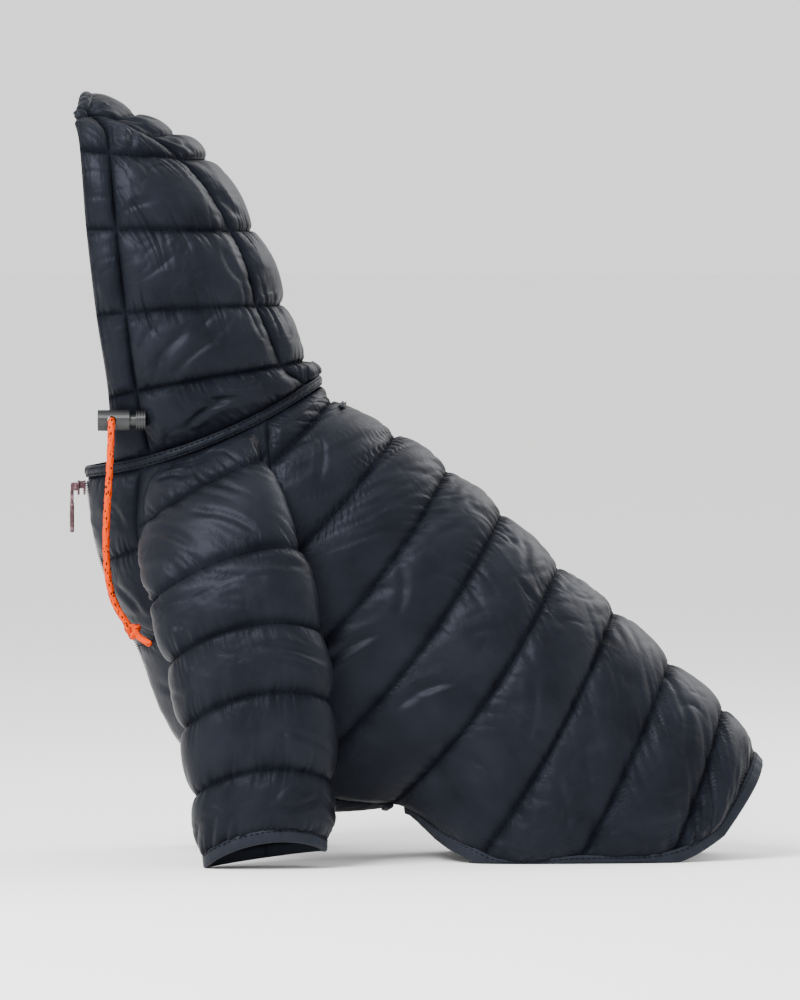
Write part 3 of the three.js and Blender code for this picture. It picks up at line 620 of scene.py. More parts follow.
# The camera stands level with the coat's left side, as the photograph's does.
view = {"distance": 5.0, "middleX": -0.0089, "middleZ": 0.1928, "tall": 0.54, "lift": 2.0}
sensorSize = 36.0
camera = bpy.data.cameras.new("camera")
camera.sensor_width = sensorSize
camera.lens = sensorSize * view["distance"] / view["tall"]
cameraObject = bpy.data.objects.new("camera", camera)
lift = math.radians(view["lift"])
cameraObject.location = (view["middleX"], -view["distance"] * math.cos(lift),
                         view["middleZ"] + view["distance"] * math.sin(lift))
cameraObject.rotation_euler = (math.pi / 2 - lift, 0, 0)
bpy.context.scene.collection.objects.link(cameraObject)
bpy.context.scene.camera = cameraObject
print("camera set")

# Tube round a path: each ring stands square to the path, carried along without twist.
def tubeFrames(path):
    tangent = unit(np.gradient(path, axis=0))
    side = np.zeros_like(tangent)
    start = np.array([0.0, 1.0, 0.0]) if abs(tangent[0][1]) < 0.8 else np.array([1.0, 0, 0])
    current = unit(start - tangent[0] * (start @ tangent[0]))
    for i, t in enumerate(tangent):
        current = unit(current - t * (current @ t))
        side[i] = current
    return tangent, side, np.cross(tangent, side)


def smoothPath(stops, count):
    stops = np.array(stops, float)
    t = np.linspace(0, len(stops) - 1, count)
    table = {"at": list(range(len(stops))), "x": stops[:, 0], "y": stops[:, 1], "z": stops[:, 2]}
    at = sample(table, t)
    path = stack(at["x"], at["y"], at["z"])
    s = np.concatenate([[0], np.cumsum(np.linalg.norm(np.diff(path, axis=0), axis=-1))])
    even = np.linspace(0, s[-1], count)
    return np.stack([np.interp(even, s, path[:, k]) for k in range(3)], axis=-1), s[-1]


# A braided tube: round, with raised strands on two crossing helices, ends rounded in.
def cordTube(name, path, length, radius, strand):
    count, ring = len(path), 20
    tangent, side, up = tubeFrames(path)
    s = np.linspace(0, length, count)[:, None]
    turn = np.linspace(0, 2 * math.pi, ring, endpoint=False)[None, :]
    lay = 2 * math.pi * s / strand["pitch"]
    relief = np.maximum(np.cos(strand["count"] * turn + lay), np.cos(strand["count"] * turn - lay))
    ends = np.minimum(1, np.minimum(s, length - s) / (0.8 * radius) + 0.25) ** 0.5
    r = radius * ends * (1 + strand["deep"] * (relief - 0.6))
    grid = path[:, None] + r[..., None] * (np.cos(turn)[..., None] * side[:, None] + np.sin(turn)[..., None] * up[:, None])
    points = np.concatenate([grid.reshape(-1, 3), path[:1], path[-1:]])
    uv = np.concatenate([np.stack(np.broadcast_arrays(turn * radius, s), axis=-1).reshape(-1, 2), [[0, 0], [0, length]]])
    quads = gridQuads(count, ring, wrapped=True)
    k = np.arange(ring)
    after = (k + 1) % ring
    first, last = count * ring, count * ring + 1
    caps = np.concatenate([
        np.stack([np.full(ring, first), after, k], axis=-1),
        np.stack([np.full(ring, last), (count - 1) * ring + k, (count - 1) * ring + after], axis=-1)])
    return putMesh(name, points, quads, uv, caps)


# The drawcord: out of the band, through the lock and down the chest to its knot.
cordValues = {"radius": 1.9, "strand": {"pitch": 9.0, "count": 5, "deep": 0.13}}
cordRoute = [
    [-163, -38.5, 237], [-163, -46, 237], [-163, -52.5, 236.6], [-163, -55.6, 234],
    [-163.2, -56.2, 229], [-163.8, -54.8, 216], [-164.6, -52, 202], [-165.6, -48.6, 188],
    [-166.2, -45.4, 174], [-166, -42.6, 161], [-164.6, -40.6, 149], [-161.4, -39.6, 138],
    [-154.2, -40.2, 126.2],
]
cordPath, cordLength = smoothPath(cordRoute, 260)
cordPiece = cordTube("drawcordBraid", cordPath, cordLength, cordValues["radius"], cordValues["strand"])
finish(cordPiece, "cord", ["drawcord"])

# The knot: an overhand knot's own line, wound round its middle, then the free tail.
knotValues = {"x": -152.3, "y": -40.6, "z": 124.2, "wide": 2.5, "radius": 1.75}
knotTurn = np.linspace(0.15, 1.85 * math.pi + 0.6, 14)
knotLine = [[knotValues["x"] + knotValues["wide"] * (math.sin(a) + 0.35 * math.sin(2 * a)),
             knotValues["y"] - 0.9 * knotValues["wide"] * math.sin(3 * a) * 0.55,
             knotValues["z"] + knotValues["wide"] * (math.cos(a) - 0.35 * math.cos(2 * a))] for a in knotTurn]
knotStops = [[-154.6, -40.1, 126.8]] + knotLine + [[-149, -42.3, 121.2], [-145.5, -44.4, 118.8], [-142, -46.5, 117]]
knotPath, knotLength = smoothPath(knotStops, 240)
knotPiece = cordTube("drawcordKnot", knotPath, knotLength, knotValues["radius"], cordValues["strand"])
finish(knotPiece, "cord", ["drawcord_knot"])
print("drawcord laid")

# Panels of the body. Loft is a full channel's height, crown its roundness, and the
# gathers run out of the stitch lines; creases are start, end, width and depth.
shellValues = {
    "back_panel": {
        "rows": 269, "columns": 329, "loft": 4.3, "crown": 0.42, "edgeFade": 9, "uneven": 0.35,
        "gatherWide": 2.9, "gatherLong": 6.5, "gatherBelow": 1.2, "gatherDeep": 1.9, "endDeep": 0.9, "crumple": 1.5,
    },
    "chest_panel": {
        "rows": 161, "columns": 93, "loft": 3.4, "crown": 0.45, "edgeFade": 9, "uneven": 0.3,
        "gatherWide": 2.8, "gatherLong": 5, "gatherBelow": 1.0, "gatherDeep": 1.1, "endDeep": 0.7, "crumple": 1.0,
    },
    "sleeve": {
        "rows": 177, "columns": 241, "loft": 4.5, "crown": 0.4, "edgeFade": 7, "uneven": 0.3,
        "gatherWide": 3.0, "gatherLong": 8, "gatherBelow": 0.7, "gatherDeep": 2.0, "endDeep": 0.4, "crumple": 1.5,
    },
    "hood_crown": {
        "rows": 221, "columns": 93, "peakLines": 3, "loft": 5.0, "crown": 0.42, "edgeFade": 9, "uneven": 0.3,
        "gatherWide": 2.9, "gatherLong": 7, "gatherBelow": 0.8, "gatherDeep": 1.9, "endDeep": 1.0, "crumple": 1.3,
    },
    "hood_side": {
        "rows": 221, "columns": 133, "loft": 5.0, "crown": 0.4, "edgeFade": 9, "uneven": 0.35,
        "gatherWide": 2.9, "gatherLong": 8, "gatherBelow": 0.8, "gatherDeep": 2.0, "endDeep": 1.0, "crumple": 1.5,
    },
    "hood_band": {
        "rows": 221, "columns": 41, "loft": 3.4, "crown": 0.35, "edgeFade": 6, "uneven": 0.35,
        "gatherWide": 2.8, "gatherLong": 4.5, "gatherBelow": 1.0, "gatherDeep": 1.0, "endDeep": 1.2, "crumple": 0.9,
    },
}
creaseValues = {
    "back_panel": [
        (2.35, 110, 2.75, 92, 2.4, 2.2), (2.55, 118, 3.0, 96, 2.8, 2.6), (3.2, 112, 3.45, 80, 2.6, 1.8),
        (2.2, -100, 2.6, -80, 2.5, 2.0), (2.7, -116, 3.1, -90, 2.8, 2.4), (3.3, -115, 3.5, -84, 2.6, 1.7),
        (1.25, 40, 1.6, 58, 2.0, 0.8), (4.2, 100, 4.55, 84, 2.4, 1.3), (4.2, -96, 4.5, -74, 2.4, 1.2),
        (3.1, 60, 3.5, 74, 2.4, 0.9), (5.3, 70, 5.7, 88, 2.4, 1.1), (5.3, -60, 5.7, -80, 2.4, 1.0),
        (6.2, 78, 6.7, 92, 2.2, 0.9), (7.3, 30, 7.6, 52, 2.2, 0.7), (6.3, -40, 6.6, -66, 2.2, 0.9),
        (4.3, 14, 4.6, 34, 2.2, 0.7), (2.3, -20, 2.6, -44, 2.2, 0.8),
    ],
    "chest_panel": [(0.3, 150, 0.7, 138, 2.0, 0.9), (1.3, 158, 1.7, 148, 2.0, 0.9), (2.4, 160, 2.7, 140, 2.2, 1.0)],
    "sleeve": [
        (0.45, 0.5, 0.8, 0.05, 1.9, 1.1), (1.2, 0.45, 1.75, 0.1, 2.3, 1.2), (2.15, -0.1, 2.3, -0.42, 1.9, 1.0),
        (3.3, -0.05, 3.55, -0.45, 2.0, 1.2), (3.5, -0.1, 3.7, -0.4, 1.6, 0.9), (4.45, -0.05, 4.65, -0.38, 1.6, 1.0),
        (5.35, -0.3, 5.6, -0.05, 1.7, 0.9), (1.3, 0.1, 1.85, -0.2, 2.0, 0.9), (2.5, 0.5, 2.75, 0.2, 2.0, 0.7),
    ],
    "hood_side": [
        (0.55, 60, 0.75, 86, 2.0, 1.2), (0.75, 52, 0.85, 76, 1.8, 1.0), (1.25, 100, 1.75, 78, 2.4, 1.3),
        (1.15, 92, 1.6, 66, 2.2, 1.1), (1.5, 104, 1.85, 92, 2.0, 0.9), (2.3, 44, 2.75, 50, 2.0, 0.8),
        (4.1, 84, 4.5, 66, 2.0, 1.1), (4.05, 76, 4.35, 60, 1.8, 0.9), (3.2, 96, 3.35, 76, 2.0, 0.7),
        (0.3, 96, 0.62, 70, 2.0, 1.2),
    ],
    "hood_crown": [(3.15, 22, 3.5, 34, 2.0, 0.9), (4.2, 28, 4.6, 44, 2.0, 0.9), (2.3, -26, 2.7, -10, 2.0, 0.7)],
}


# The back panel's tail corners are cut round: rows there end sooner toward the sides.
def roundTail(t, share):
    return t - 0.36 * smooth(t, 8, 9) * np.abs(share) ** 4


# One panel between two seam angles: a grid over rows and angles, lifted to its height.
def quiltPanel(name, kind, first, last, edges, surface, normal, slotName="shell", sign=1, seed=1, press=None):
    look = shellValues[kind]
    share = np.linspace(0, 1, look["columns"])[None, :]
    t = np.linspace(first, last, look["rows"])[:, None] * np.ones((1, look["columns"]))
    t = roundTail(t, 2 * share - 1) if kind == "back_panel" else t
    low, high = edges(t)
    angle = sign * mix(low, high, share)
    inner = surface(t, angle)
    s, d = runLengths(inner)
    edge = np.minimum(s, s[:, -1:] - s)
    edge = np.minimum(edge, d[-1:] - d) if kind == "back_panel" else edge
    pitch = np.linalg.norm(surface(np.floor(t) + 0.9, angle) - surface(np.floor(t) + 0.1, angle), axis=-1) / 0.8
    extra = look.get("peakLines", 1)
    lines = np.where(t > 4, 4 + (t - 4) * extra, t)
    pitch = np.where(t > 4, pitch / extra, pitch)
    height, marks = quiltHeight(lines, s + 11 * seed, edge, pitch, look, 10 * seed)
    if press is not None:
        height = wall + (height - wall) * press(t, angle)
    creases = [(t0, sign * a0, t1, sign * a1, w, d) for t0, a0, t1, a1, w, d in creaseValues.get(kind, [])]
    inside = np.clip((height - wall) / 1.2, 0, 1)
    height = height + creaseHeight(inner, normal(t, angle), surface, creases) * inside
    height = np.maximum(height, 0.9)
    return clothShell(name, inner, normal(t, angle), height, sign > 0, marks)


# Channels under the sleeve, and at the nape, are pressed flatter.
def underSleeve(t, angle):
    beside = smooth(np.abs(angle), 60, 85) * (1 - smooth(np.abs(angle), 130, 148)) * (1 - smooth(t, 4.2, 5.2)) * smooth(t, 0.3, 1)
    nape = (1 - smooth(t, 0.8, 1.1)) * (1 - smooth(np.abs(angle), 40, 70))
    return 1 - 0.6 * beside - 0.5 * nape


# The quilting under the lock, within about 16 mm of its button, is pressed flat, so the
# button has room to move.
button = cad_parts["cord_lock_plunger"]
buttonPlace = np.mean([button.matrix_world @ v.co for v in button.data.vertices], axis=0) / mm


def underLock(t, angle):
    far = np.linalg.norm(hoodPoint(t, angle) - buttonPlace, axis=-1)
    return 1 - 0.9 * np.exp(-(far / 16) ** 4)


def crownEdges(t):
    edge = sample(hoodSeams, t)["crown"]
    edge = edge - gapAngle(hoodPoint, t, edge)
    return -edge, edge


def sideEdges(t):
    seam = sample(hoodSeams, t)
    return (seam["crown"] + gapAngle(hoodPoint, t, seam["crown"]), seam["band"] - gapAngle(hoodPoint, t, seam["band"]))


def bandEdges(t):
    seam = sample(hoodSeams, t)
    return seam["band"] + gapAngle(hoodPoint, t, seam["band"]), sample(hoodRows, t)["wrap"]


back = quiltPanel("backPanel", "back_panel", 0, 9, lambda t: (-backEdge(t), backEdge(t)), bodyPoint, bodyNormal,
                  seed=1, press=underSleeve)
finish(back, "shell", ["back_panel"])
crown = quiltPanel("hoodCrown", "hood_crown", 0, 5, crownEdges, hoodPoint, hoodNormal, seed=2)
finish(crown, "shell", ["hood_crown"])
bothSides = (("Left", "left", 1), ("Right", "right", -1))
for title, word, sign in bothSides:
    chest = quiltPanel(f"chestPanel{title}", "chest_panel", 0, hemStart, chestEdges, bodyPoint, bodyNormal,
                       sign=sign, seed=5 + sign, press=underSleeve)
    finish(chest, "shell", [f"chest_panel_{word}"])
    side = quiltPanel(f"hoodSide{title}", "hood_side", 0, 4.8, sideEdges, hoodPoint, hoodNormal, sign=sign, seed=8 + sign)
    finish(side, "shell", [f"hood_side_{word}"])
    band = quiltPanel(f"hoodBand{title}", "hood_band", 0, 5, bandEdges, hoodPoint, hoodNormal,
                      sign=sign, seed=11 + sign, press=underLock)
    finish(band, "shell", [f"hood_band_{word}"])
print("body and hood panels made")


# The face band's fold over the peak: a soft roll along the hood's front edge, pinched
# where the crown's two seams run into it.
rollValues = {"radius": 4.3, "tall": 1.1, "limit": 89, "seam": 62, "forward": 1.6, "up": 0.2}


def peakRoll(name):
    count, ring = 181, 24
    angle = np.linspace(-rollValues["limit"], rollValues["limit"], count)
    line = hoodPoint(np.full(count, 4.97), angle) + hoodNormal(np.full(count, 4.9), angle) * rollValues["up"]
    line[:, 0] -= rollValues["forward"]
    tangent, side, up = tubeFrames(line)
    s = np.concatenate([[0], np.cumsum(np.linalg.norm(np.diff(line, axis=0), axis=-1))])
    turn = np.linspace(0, 2 * math.pi, ring, endpoint=False)
    pinch = 0.3 * np.exp(-((np.abs(angle) - rollValues["seam"]) / 2.5) ** 2)
    taper = np.clip((1 - np.abs(angle) / rollValues["limit"]) / 0.08, 0.5, 1) ** 0.6
    gather = 0.16 * ridges(s[:, None] / 2.7 + 0.4 * np.cos(turn), np.sin(turn) * 1.2 + 4, 61, 1.6)
    r = rollValues["radius"] * (taper * (1 - pinch))[:, None] * (1 - gather)
    points = line[:, None] + r[..., None] * (np.cos(turn)[None, :, None] * side[:, None]
                                             + np.sin(turn)[None, :, None] * up[:, None] * rollValues["tall"])
    quads = gridQuads(count, ring, wrapped=True)
    flat = np.concatenate([points.reshape(-1, 3), line[:1], line[-1:]])
    k = np.arange(ring)
    after = (k + 1) % ring
    last = (count - 1) * ring
    caps = np.concatenate([np.stack([np.full(ring, count * ring), after, k], axis=-1),
                           np.stack([np.full(ring, count * ring + 1), last + k, last + after], axis=-1)])
    uv = np.stack(np.broadcast_arrays(turn[None, :] * rollValues["radius"], s[:, None]), axis=-1).reshape(-1, 2)
    return putMesh(name, flat, quads, np.concatenate([uv, uv[:1], uv[-1:]]), caps)


finish(faceOut(peakRoll("hoodPeakRoll")), "shell")


def sleevePiece(name, sign, seed):
    look = shellValues["sleeve"]
    t = np.linspace(0, 6, look["rows"])[:, None] * np.ones((1, look["columns"]))
    q = np.linspace(-1, 1, look["columns"])[None, :] * np.ones((look["rows"], 1))
    inner = sleevePoint(t, q, sign)
    normal = sleeveNormal(t, q, sign)
    s, d = runLengths(inner)
    edge = np.where(t < sleeveArmpit, np.minimum(s, s[:, -1:] - s), 30)
    pitch = np.full(t.shape, 36.0)
    height, marks = quiltHeight(t, s + 7 * seed, edge, pitch, look, 10 * seed)
    sewn = np.where(t < sleeveArmpit, smooth(1 - np.abs(q), 0.04, 0.3), 1)
    press = mix(1, 0.32, smooth(np.abs(q), 0.55, 0.8)) * sewn
    height = wall + (height - wall) * press
    surface = lambda u, v: sleevePoint(u, v, sign)
    inside = np.clip((height - wall) / 1.2, 0, 1)
    height = height + creaseHeight(inner, normal, surface, creaseValues["sleeve"]) * inside
    height = np.maximum(height, 0.9)
    return clothShell(name, inner, normal, height, sign < 0, marks)


for title, word, sign in bothSides:
    finish(sleevePiece(f"sleeve{title}", sign, 14 + sign), "shell", [f"sleeve_{word}"])
print("sleeves made")


# A binding: a folded tape round an edge, its section a long U with a rounded fold,
# carried along the edge and puckered a little by its stitching.
bindingValues = {"wide": 7.6, "thick": 3.2, "gap": -1.6, "pucker": 0.35, "puckerMm": 3.4}


def bindingPiece(name, edge, out, normal, seed, wide=bindingValues["wide"]):
    turn = np.linspace(-math.pi / 2, math.pi / 2, 9)
    half = bindingValues["thick"] / 2
    bend = half * 0.9
    sectionOut = np.concatenate([[0, 0.35 * wide, 0.7 * wide - 0.5], wide - bend + bend * np.cos(turn), [0.7 * wide - 0.5, 0.35 * wide, 0]])
    sectionUp = np.concatenate([[-half * 0.8, -half, -half], half * np.sin(turn), [half, half, half * 0.8]])
    s = np.concatenate([[0], np.cumsum(np.linalg.norm(np.diff(edge, axis=0), axis=-1))])
    pucker = bindingValues["pucker"] * (noise1(s / bindingValues["puckerMm"], seed) - 0.5)
    swell = 1 + pucker[:, None] * np.abs(np.sign(sectionUp))[None, :]
    middle = half - 0.5
    points = (edge[:, None] + out[:, None] * (bindingValues["gap"] + sectionOut)[None, :, None]
              + normal[:, None] * (middle + sectionUp[None, :] * swell)[..., None])
    points[..., 2] = np.maximum(points[..., 2], 0)
    stations, ring = points.shape[:2]
    across = np.cumsum(np.concatenate([[0], np.hypot(np.diff(sectionOut), np.diff(sectionUp))]))
    uv = np.stack(np.broadcast_arrays(across[None, :], s[:, None]), axis=-1).reshape(-1, 2)
    quads = gridQuads(stations, ring, wrapped=True)
    centre = points.mean(axis=1)
    flat = np.concatenate([points.reshape(-1, 3), centre[:1], centre[-1:]])
    k = np.arange(ring)
    after = (k + 1) % ring
    last = (stations - 1) * ring
    caps = np.concatenate([np.stack([np.full(ring, stations * ring), after, k], axis=-1),
                           np.stack([np.full(ring, stations * ring + 1), last + k, last + after], axis=-1)])
    return putMesh(name, flat, quads, np.concatenate([uv, uv[:1], uv[-1:]]), caps)


def alongEdge(points, normals, towards):
    along = unit(np.gradient(points, axis=0))
    out = unit(np.cross(along, normals))
    turned = np.sign(np.einsum("ij,ij->i", out, towards))
    return out * turned[:, None]


hemSide = np.linspace(hemStart + 0.14, float(roundTail(np.array(9.0), 1.0)), 200)[:-1]
hemShare = np.linspace(1, -1, 161)
hemTail = roundTail(np.full(161, 9.0), hemShare)
hemT = np.concatenate([hemSide, hemTail, hemSide[::-1]])
hemA = np.concatenate([backEdge(hemSide), hemShare * backEdge(hemTail), -backEdge(hemSide[::-1])])
hemPoints = bodyPoint(hemT, hemA)
hemNormals = bodyNormal(hemT, hemA)
hemInside = bodyPoint(np.minimum(hemT - 0.25 * smooth(hemT, 8, 9), 8.8), hemA * 0.9)
hemTowards = hemPoints - hemInside
hemOut = alongEdge(hemPoints, hemNormals, hemTowards)
for step in range(12):
    hemOut = unit(hemOut + 0.5 * (np.roll(hemOut, 1, axis=0) + np.roll(hemOut, -1, axis=0)) * np.r_[0, np.ones(len(hemOut) - 2), 0][:, None])
finish(faceOut(bindingPiece("hemBinding", hemPoints, hemOut, hemNormals, 31)), "tape", ["hem_binding"])

for title, word, sign in bothSides:
    q = np.linspace(-1, 1, 260)
    t = np.full(260, 6.0)
    edge = sleevePoint(t, q, sign)
    out = unit(edge - sleevePoint(t - 0.2, q, sign))
    cuff = bindingPiece(f"cuffBinding{title}", edge, out, sleeveNormal(t - 0.05, q, sign), 33 + sign)
    finish(faceOut(cuff), "tape", [f"cuff_binding_{word}"])
    angle = sign * np.linspace(backEdge(np.array(hemStart)) + 2, 173.5, 30)
    t = np.full(30, hemStart)
    edge = bodyPoint(t, angle)
    out = unit(edge - bodyPoint(t - 0.05, angle))
    belly = bindingPiece(f"bellyBinding{title}", edge, out, bodyNormal(t, angle), 36 + sign, wide=4.2)
    finish(faceOut(belly), "tape", [f"belly_binding_{word}"])

# The collar: a low crowned band with fine gathers across it, topstitched along both
# edges.
collarLimit = 172
collarRows, collarColumns = 17, 421
share = np.linspace(0, 1, collarRows)[:, None] * np.ones((1, collarColumns))
angle = np.linspace(-collarLimit, collarLimit, collarColumns)[None, :] * np.ones((collarRows, 1))
inner = bodyPoint(np.zeros_like(angle), angle) + collarRise * (seamGap + collarTall * share)[..., None]
s, d = runLengths(inner)
fold = np.maximum(0, np.sin(share * math.pi)) ** 0.45 - 0.22 * np.exp(-((np.abs(share - 0.5) - 0.27) / 0.07) ** 2)
gather = ridges(s / 2.3 + 3 * share, share * 1.5, 41, 1.5) * (0.35 + 0.65 * noise1(s / 17, 42))
height = 1.2 + 1.5 * fold - 0.6 * gather * np.sin(share * math.pi) ** 0.5
collar = clothShell("collarBand", inner, neckNormal(angle), height, flip=False)
finish(faceOut(collar), "shell", ["collar_band"])
print("bindings and collar made")


# The zip: two tapes and the coil's turns between them, each turn one small loop.
def zipAngle(t, y):
    return 180 - np.degrees(np.arcsin(y / sample(bodyRows, t)["half"]))


def zipStrip(name, fromY, toY, low, thick):
    t = (np.linspace(0.04, 4.9, 241)[:, None]) * np.ones((1, 5))
    y = np.linspace(fromY, toY, 5)[None, :] * np.ones((241, 1))
    normal = bodyNormal(t, np.full(t.shape, 180.0))
    return clothShell(name, bodyPoint(t, zipAngle(t, y)) + normal * low, normal, np.full(t.shape, thick), flip=False)


for title, word, low, high in (("Left", "left", 1.9, 4.9), ("Right", "right", -4.9, -1.9)):
    finish(faceOut(zipStrip(f"zipTape{title}", low, high, 0.3, 1.0)), "tape", [f"zip_tape_{word}"])

# Many copies of one small shape, each set in its own place, along, side and up.
def scatter(name, shape, faces, place, along, side, up):
    points = (place[:, None] + shape[None, :, :1] * along[:, None] + shape[None, :, 1:2] * side[:, None]
              + shape[None, :, 2:] * up[:, None])
    count, size = points.shape[:2]
    quads = (faces[None] + (np.arange(count) * size)[:, None, None]).reshape(-1, faces.shape[1])
    return putMesh(name, points.reshape(-1, 3), quads)


# A short rounded bar along the first axis: rings that close at both ends.
def barShape(length, wide, tall, rings=(0.0, 0.12, 0.5, 0.88, 1.0), sizes=(0.25, 0.8, 1.0, 0.8, 0.25), around=6):
    turn = np.linspace(0, 2 * math.pi, around, endpoint=False)
    x = (np.array(rings) - 0.5)[:, None] * length * np.ones((1, around))
    y = np.array(sizes)[:, None] * np.cos(turn)[None, :] * wide / 2
    z = np.array(sizes)[:, None] * np.sin(turn)[None, :] * tall / 2
    body = gridQuads(len(rings), around, wrapped=True)
    last = (len(rings) - 1) * around
    ends = np.array([[0, 5, 4, 1], [1, 4, 3, 2], [last, last + 1, last + 4, last + 5], [last + 1, last + 2, last + 3, last + 4]])
    return stack(x, y, z).reshape(-1, 3), np.concatenate([body, ends])


coilValues = {"pitch": 1.25, "long": 2.1, "wide": 0.85, "tall": 1.7, "lift": 1.6}
zipLine = bodyPoint(np.linspace(0.04, 4.9, 1200), np.full(1200, 180.0))
zipLengths = np.concatenate([[0], np.cumsum(np.linalg.norm(np.diff(zipLine, axis=0), axis=-1))])
turns = np.arange(coilValues["pitch"], zipLengths[-1] - 1, coilValues["pitch"])
zipT = np.interp(turns, zipLengths, np.linspace(0.04, 4.9, 1200))
zipUp = bodyNormal(zipT, np.full(len(zipT), 180.0))
zipPlace = bodyPoint(zipT, np.full(len(zipT), 180.0)) + zipUp * coilValues["lift"]
zipAcross = np.tile(np.array([0.0, 1.0, 0.0]), (len(zipT), 1))
side = np.where(np.arange(len(zipT)) % 2 == 0, 1.0, -1.0)[:, None]
shape, faces = barShape(coilValues["long"], coilValues["wide"], coilValues["tall"])
coil = scatter("zipCoilTurns", shape, faces, zipPlace + zipAcross * side * 0.62, zipAcross, unit(np.cross(zipUp, zipAcross)), zipUp)
finish(faceOut(coil), "coil")
spine = zipStrip("zipCoilSpine", -1.4, 1.4, 0.1, 1.3)
finish(faceOut(spine), "coil", ["zip_coil"])
print("zip made, coil turns:", len(zipT))


# Stitches: short bars of thread end to end along a line on the cloth.
stitchValues = {"pitch": 3.0, "long": 2.3, "wide": 0.45, "tall": 0.45}


def stitchLine(points, normals, lift):
    s = np.concatenate([[0], np.cumsum(np.linalg.norm(np.diff(points, axis=0), axis=-1))])
    at = np.arange(stitchValues["pitch"], s[-1] - 1.5, stitchValues["pitch"])
    place = np.stack([np.interp(at, s, points[:, k]) for k in range(3)], axis=-1)
    ahead = np.stack([np.interp(at + 0.8, s, points[:, k]) for k in range(3)], axis=-1)
    up = unit(np.stack([np.interp(at, s, normals[:, k]) for k in range(3)], axis=-1))
    along = unit(ahead - place)
    return place + up * lift, along, np.cross(up, along), up


def stitchPiece(name, lines):
    joined = [np.concatenate(parts) for parts in zip(*lines)]
    shape, faces = barShape(stitchValues["long"], stitchValues["wide"], stitchValues["tall"],
                            rings=(0.0, 0.2, 0.8, 1.0), sizes=(0.3, 0.9, 0.9, 0.3))
    return finish(faceOut(scatter(name, shape, faces, *joined)), "thread")


def rowLine(surface, normal, t, low, high, count=160):
    angle = np.linspace(low, high, count)
    rows = np.full(count, float(t))
    return stitchLine(surface(rows, angle), normal(rows, angle), wall + 0.08)


bodyLines = [rowLine(bodyPoint, bodyNormal, t, -float(backEdge(np.array(float(t)))), float(backEdge(np.array(float(t)))), 300)
             for t in range(1, 9)]
stitchPiece("backStitches", bodyLines)
hoodLines = []
chestLines = []
sleeveLines = []
for title, word, sign in bothSides:
    for t in (1, 2, 3, 4):
        low, high = (float(v) for v in sideEdges(np.array(float(t))))
        hoodLines.append(rowLine(hoodPoint, hoodNormal, t, sign * low, sign * high))
        low, high = (float(v) for v in bandEdges(np.array(float(t))))
        hoodLines.append(rowLine(hoodPoint, hoodNormal, t, sign * low, sign * high, 60))
        low, high = (float(v) for v in chestEdges(np.array(float(t))))
        chestLines.append(rowLine(bodyPoint, bodyNormal, t, sign * low, sign * high, 90))
    for t in (1, 2, 3, 4, 5):
        q = np.linspace(-0.95, 0.95, 200)
        rows = np.full(200, float(t))
        sleeveLines.append(stitchLine(sleevePoint(rows, q, sign), sleeveNormal(rows, q, sign), wall + 0.08))
for t in (1, 2, 3, 4):
    low, high = (float(v) for v in crownEdges(np.array(float(t))))
    hoodLines.append(rowLine(hoodPoint, hoodNormal, t, low, high, 90))
collarLines = []
for share in (0.23, 0.77):
    angle = np.linspace(-collarLimit + 0.5, collarLimit - 0.5, 420)
    line = bodyPoint(np.zeros(420), angle) + collarRise * (seamGap + collarTall * share)
    collarLines.append(stitchLine(line, neckNormal(angle), 2.3))
stitchPiece("collarStitches", collarLines)
stitchPiece("hoodStitches", hoodLines)
stitchPiece("chestStitches", chestLines)
stitchPiece("sleeveStitches", sleeveLines)

# Topstitching along the bindings, near the edge that lies on the panel.
half = bindingValues["thick"]
hemStitch = stitchLine(hemPoints + hemOut * (bindingValues["gap"] + 1.3), hemNormals, half - 0.42)
cuffStitches = []
for title, word, sign in bothSides:
    q = np.linspace(-1, 1, 260)
    t = np.full(260, 6.0)
    edge = sleevePoint(t, q, sign)
    out = unit(edge - sleevePoint(t - 0.2, q, sign))
    cuffStitches.append(stitchLine(edge + out * (bindingValues["gap"] + 1.3), sleeveNormal(t - 0.05, q, sign), half - 0.42))
stitchPiece("bindingStitches", [hemStitch] + cuffStitches)
print("stitches sewn")

# The leash slot: a welt round a dark slit on the back.
slotRow, slotAngle = 1.22, 13
t = slotRow + 0.09 * (np.linspace(0, 1, 17)[:, None] - 0.5) * np.ones((1, 61))
angle = slotAngle * np.linspace(-1, 1, 61)[None, :] * np.ones((17, 1))
normal = bodyNormal(np.full(t.shape, slotRow), angle)
base = (wall + 3.6 * np.maximum(0, np.sin(math.pi * (t - 1))) ** 0.6 + 0.6)[..., None]
lips = 0.5 + 0.9 * np.abs(np.sin(np.linspace(0, 1, 17)[:, None] * math.pi * 2)) ** 0.6 * np.ones((1, 61))
slot = clothShell("leashSlotWelt", bodyPoint(t, angle) + bodyNormal(t, angle) * base, normal, lips, flip=False)
finish(faceOut(slot), "tape", ["leash_slot"])

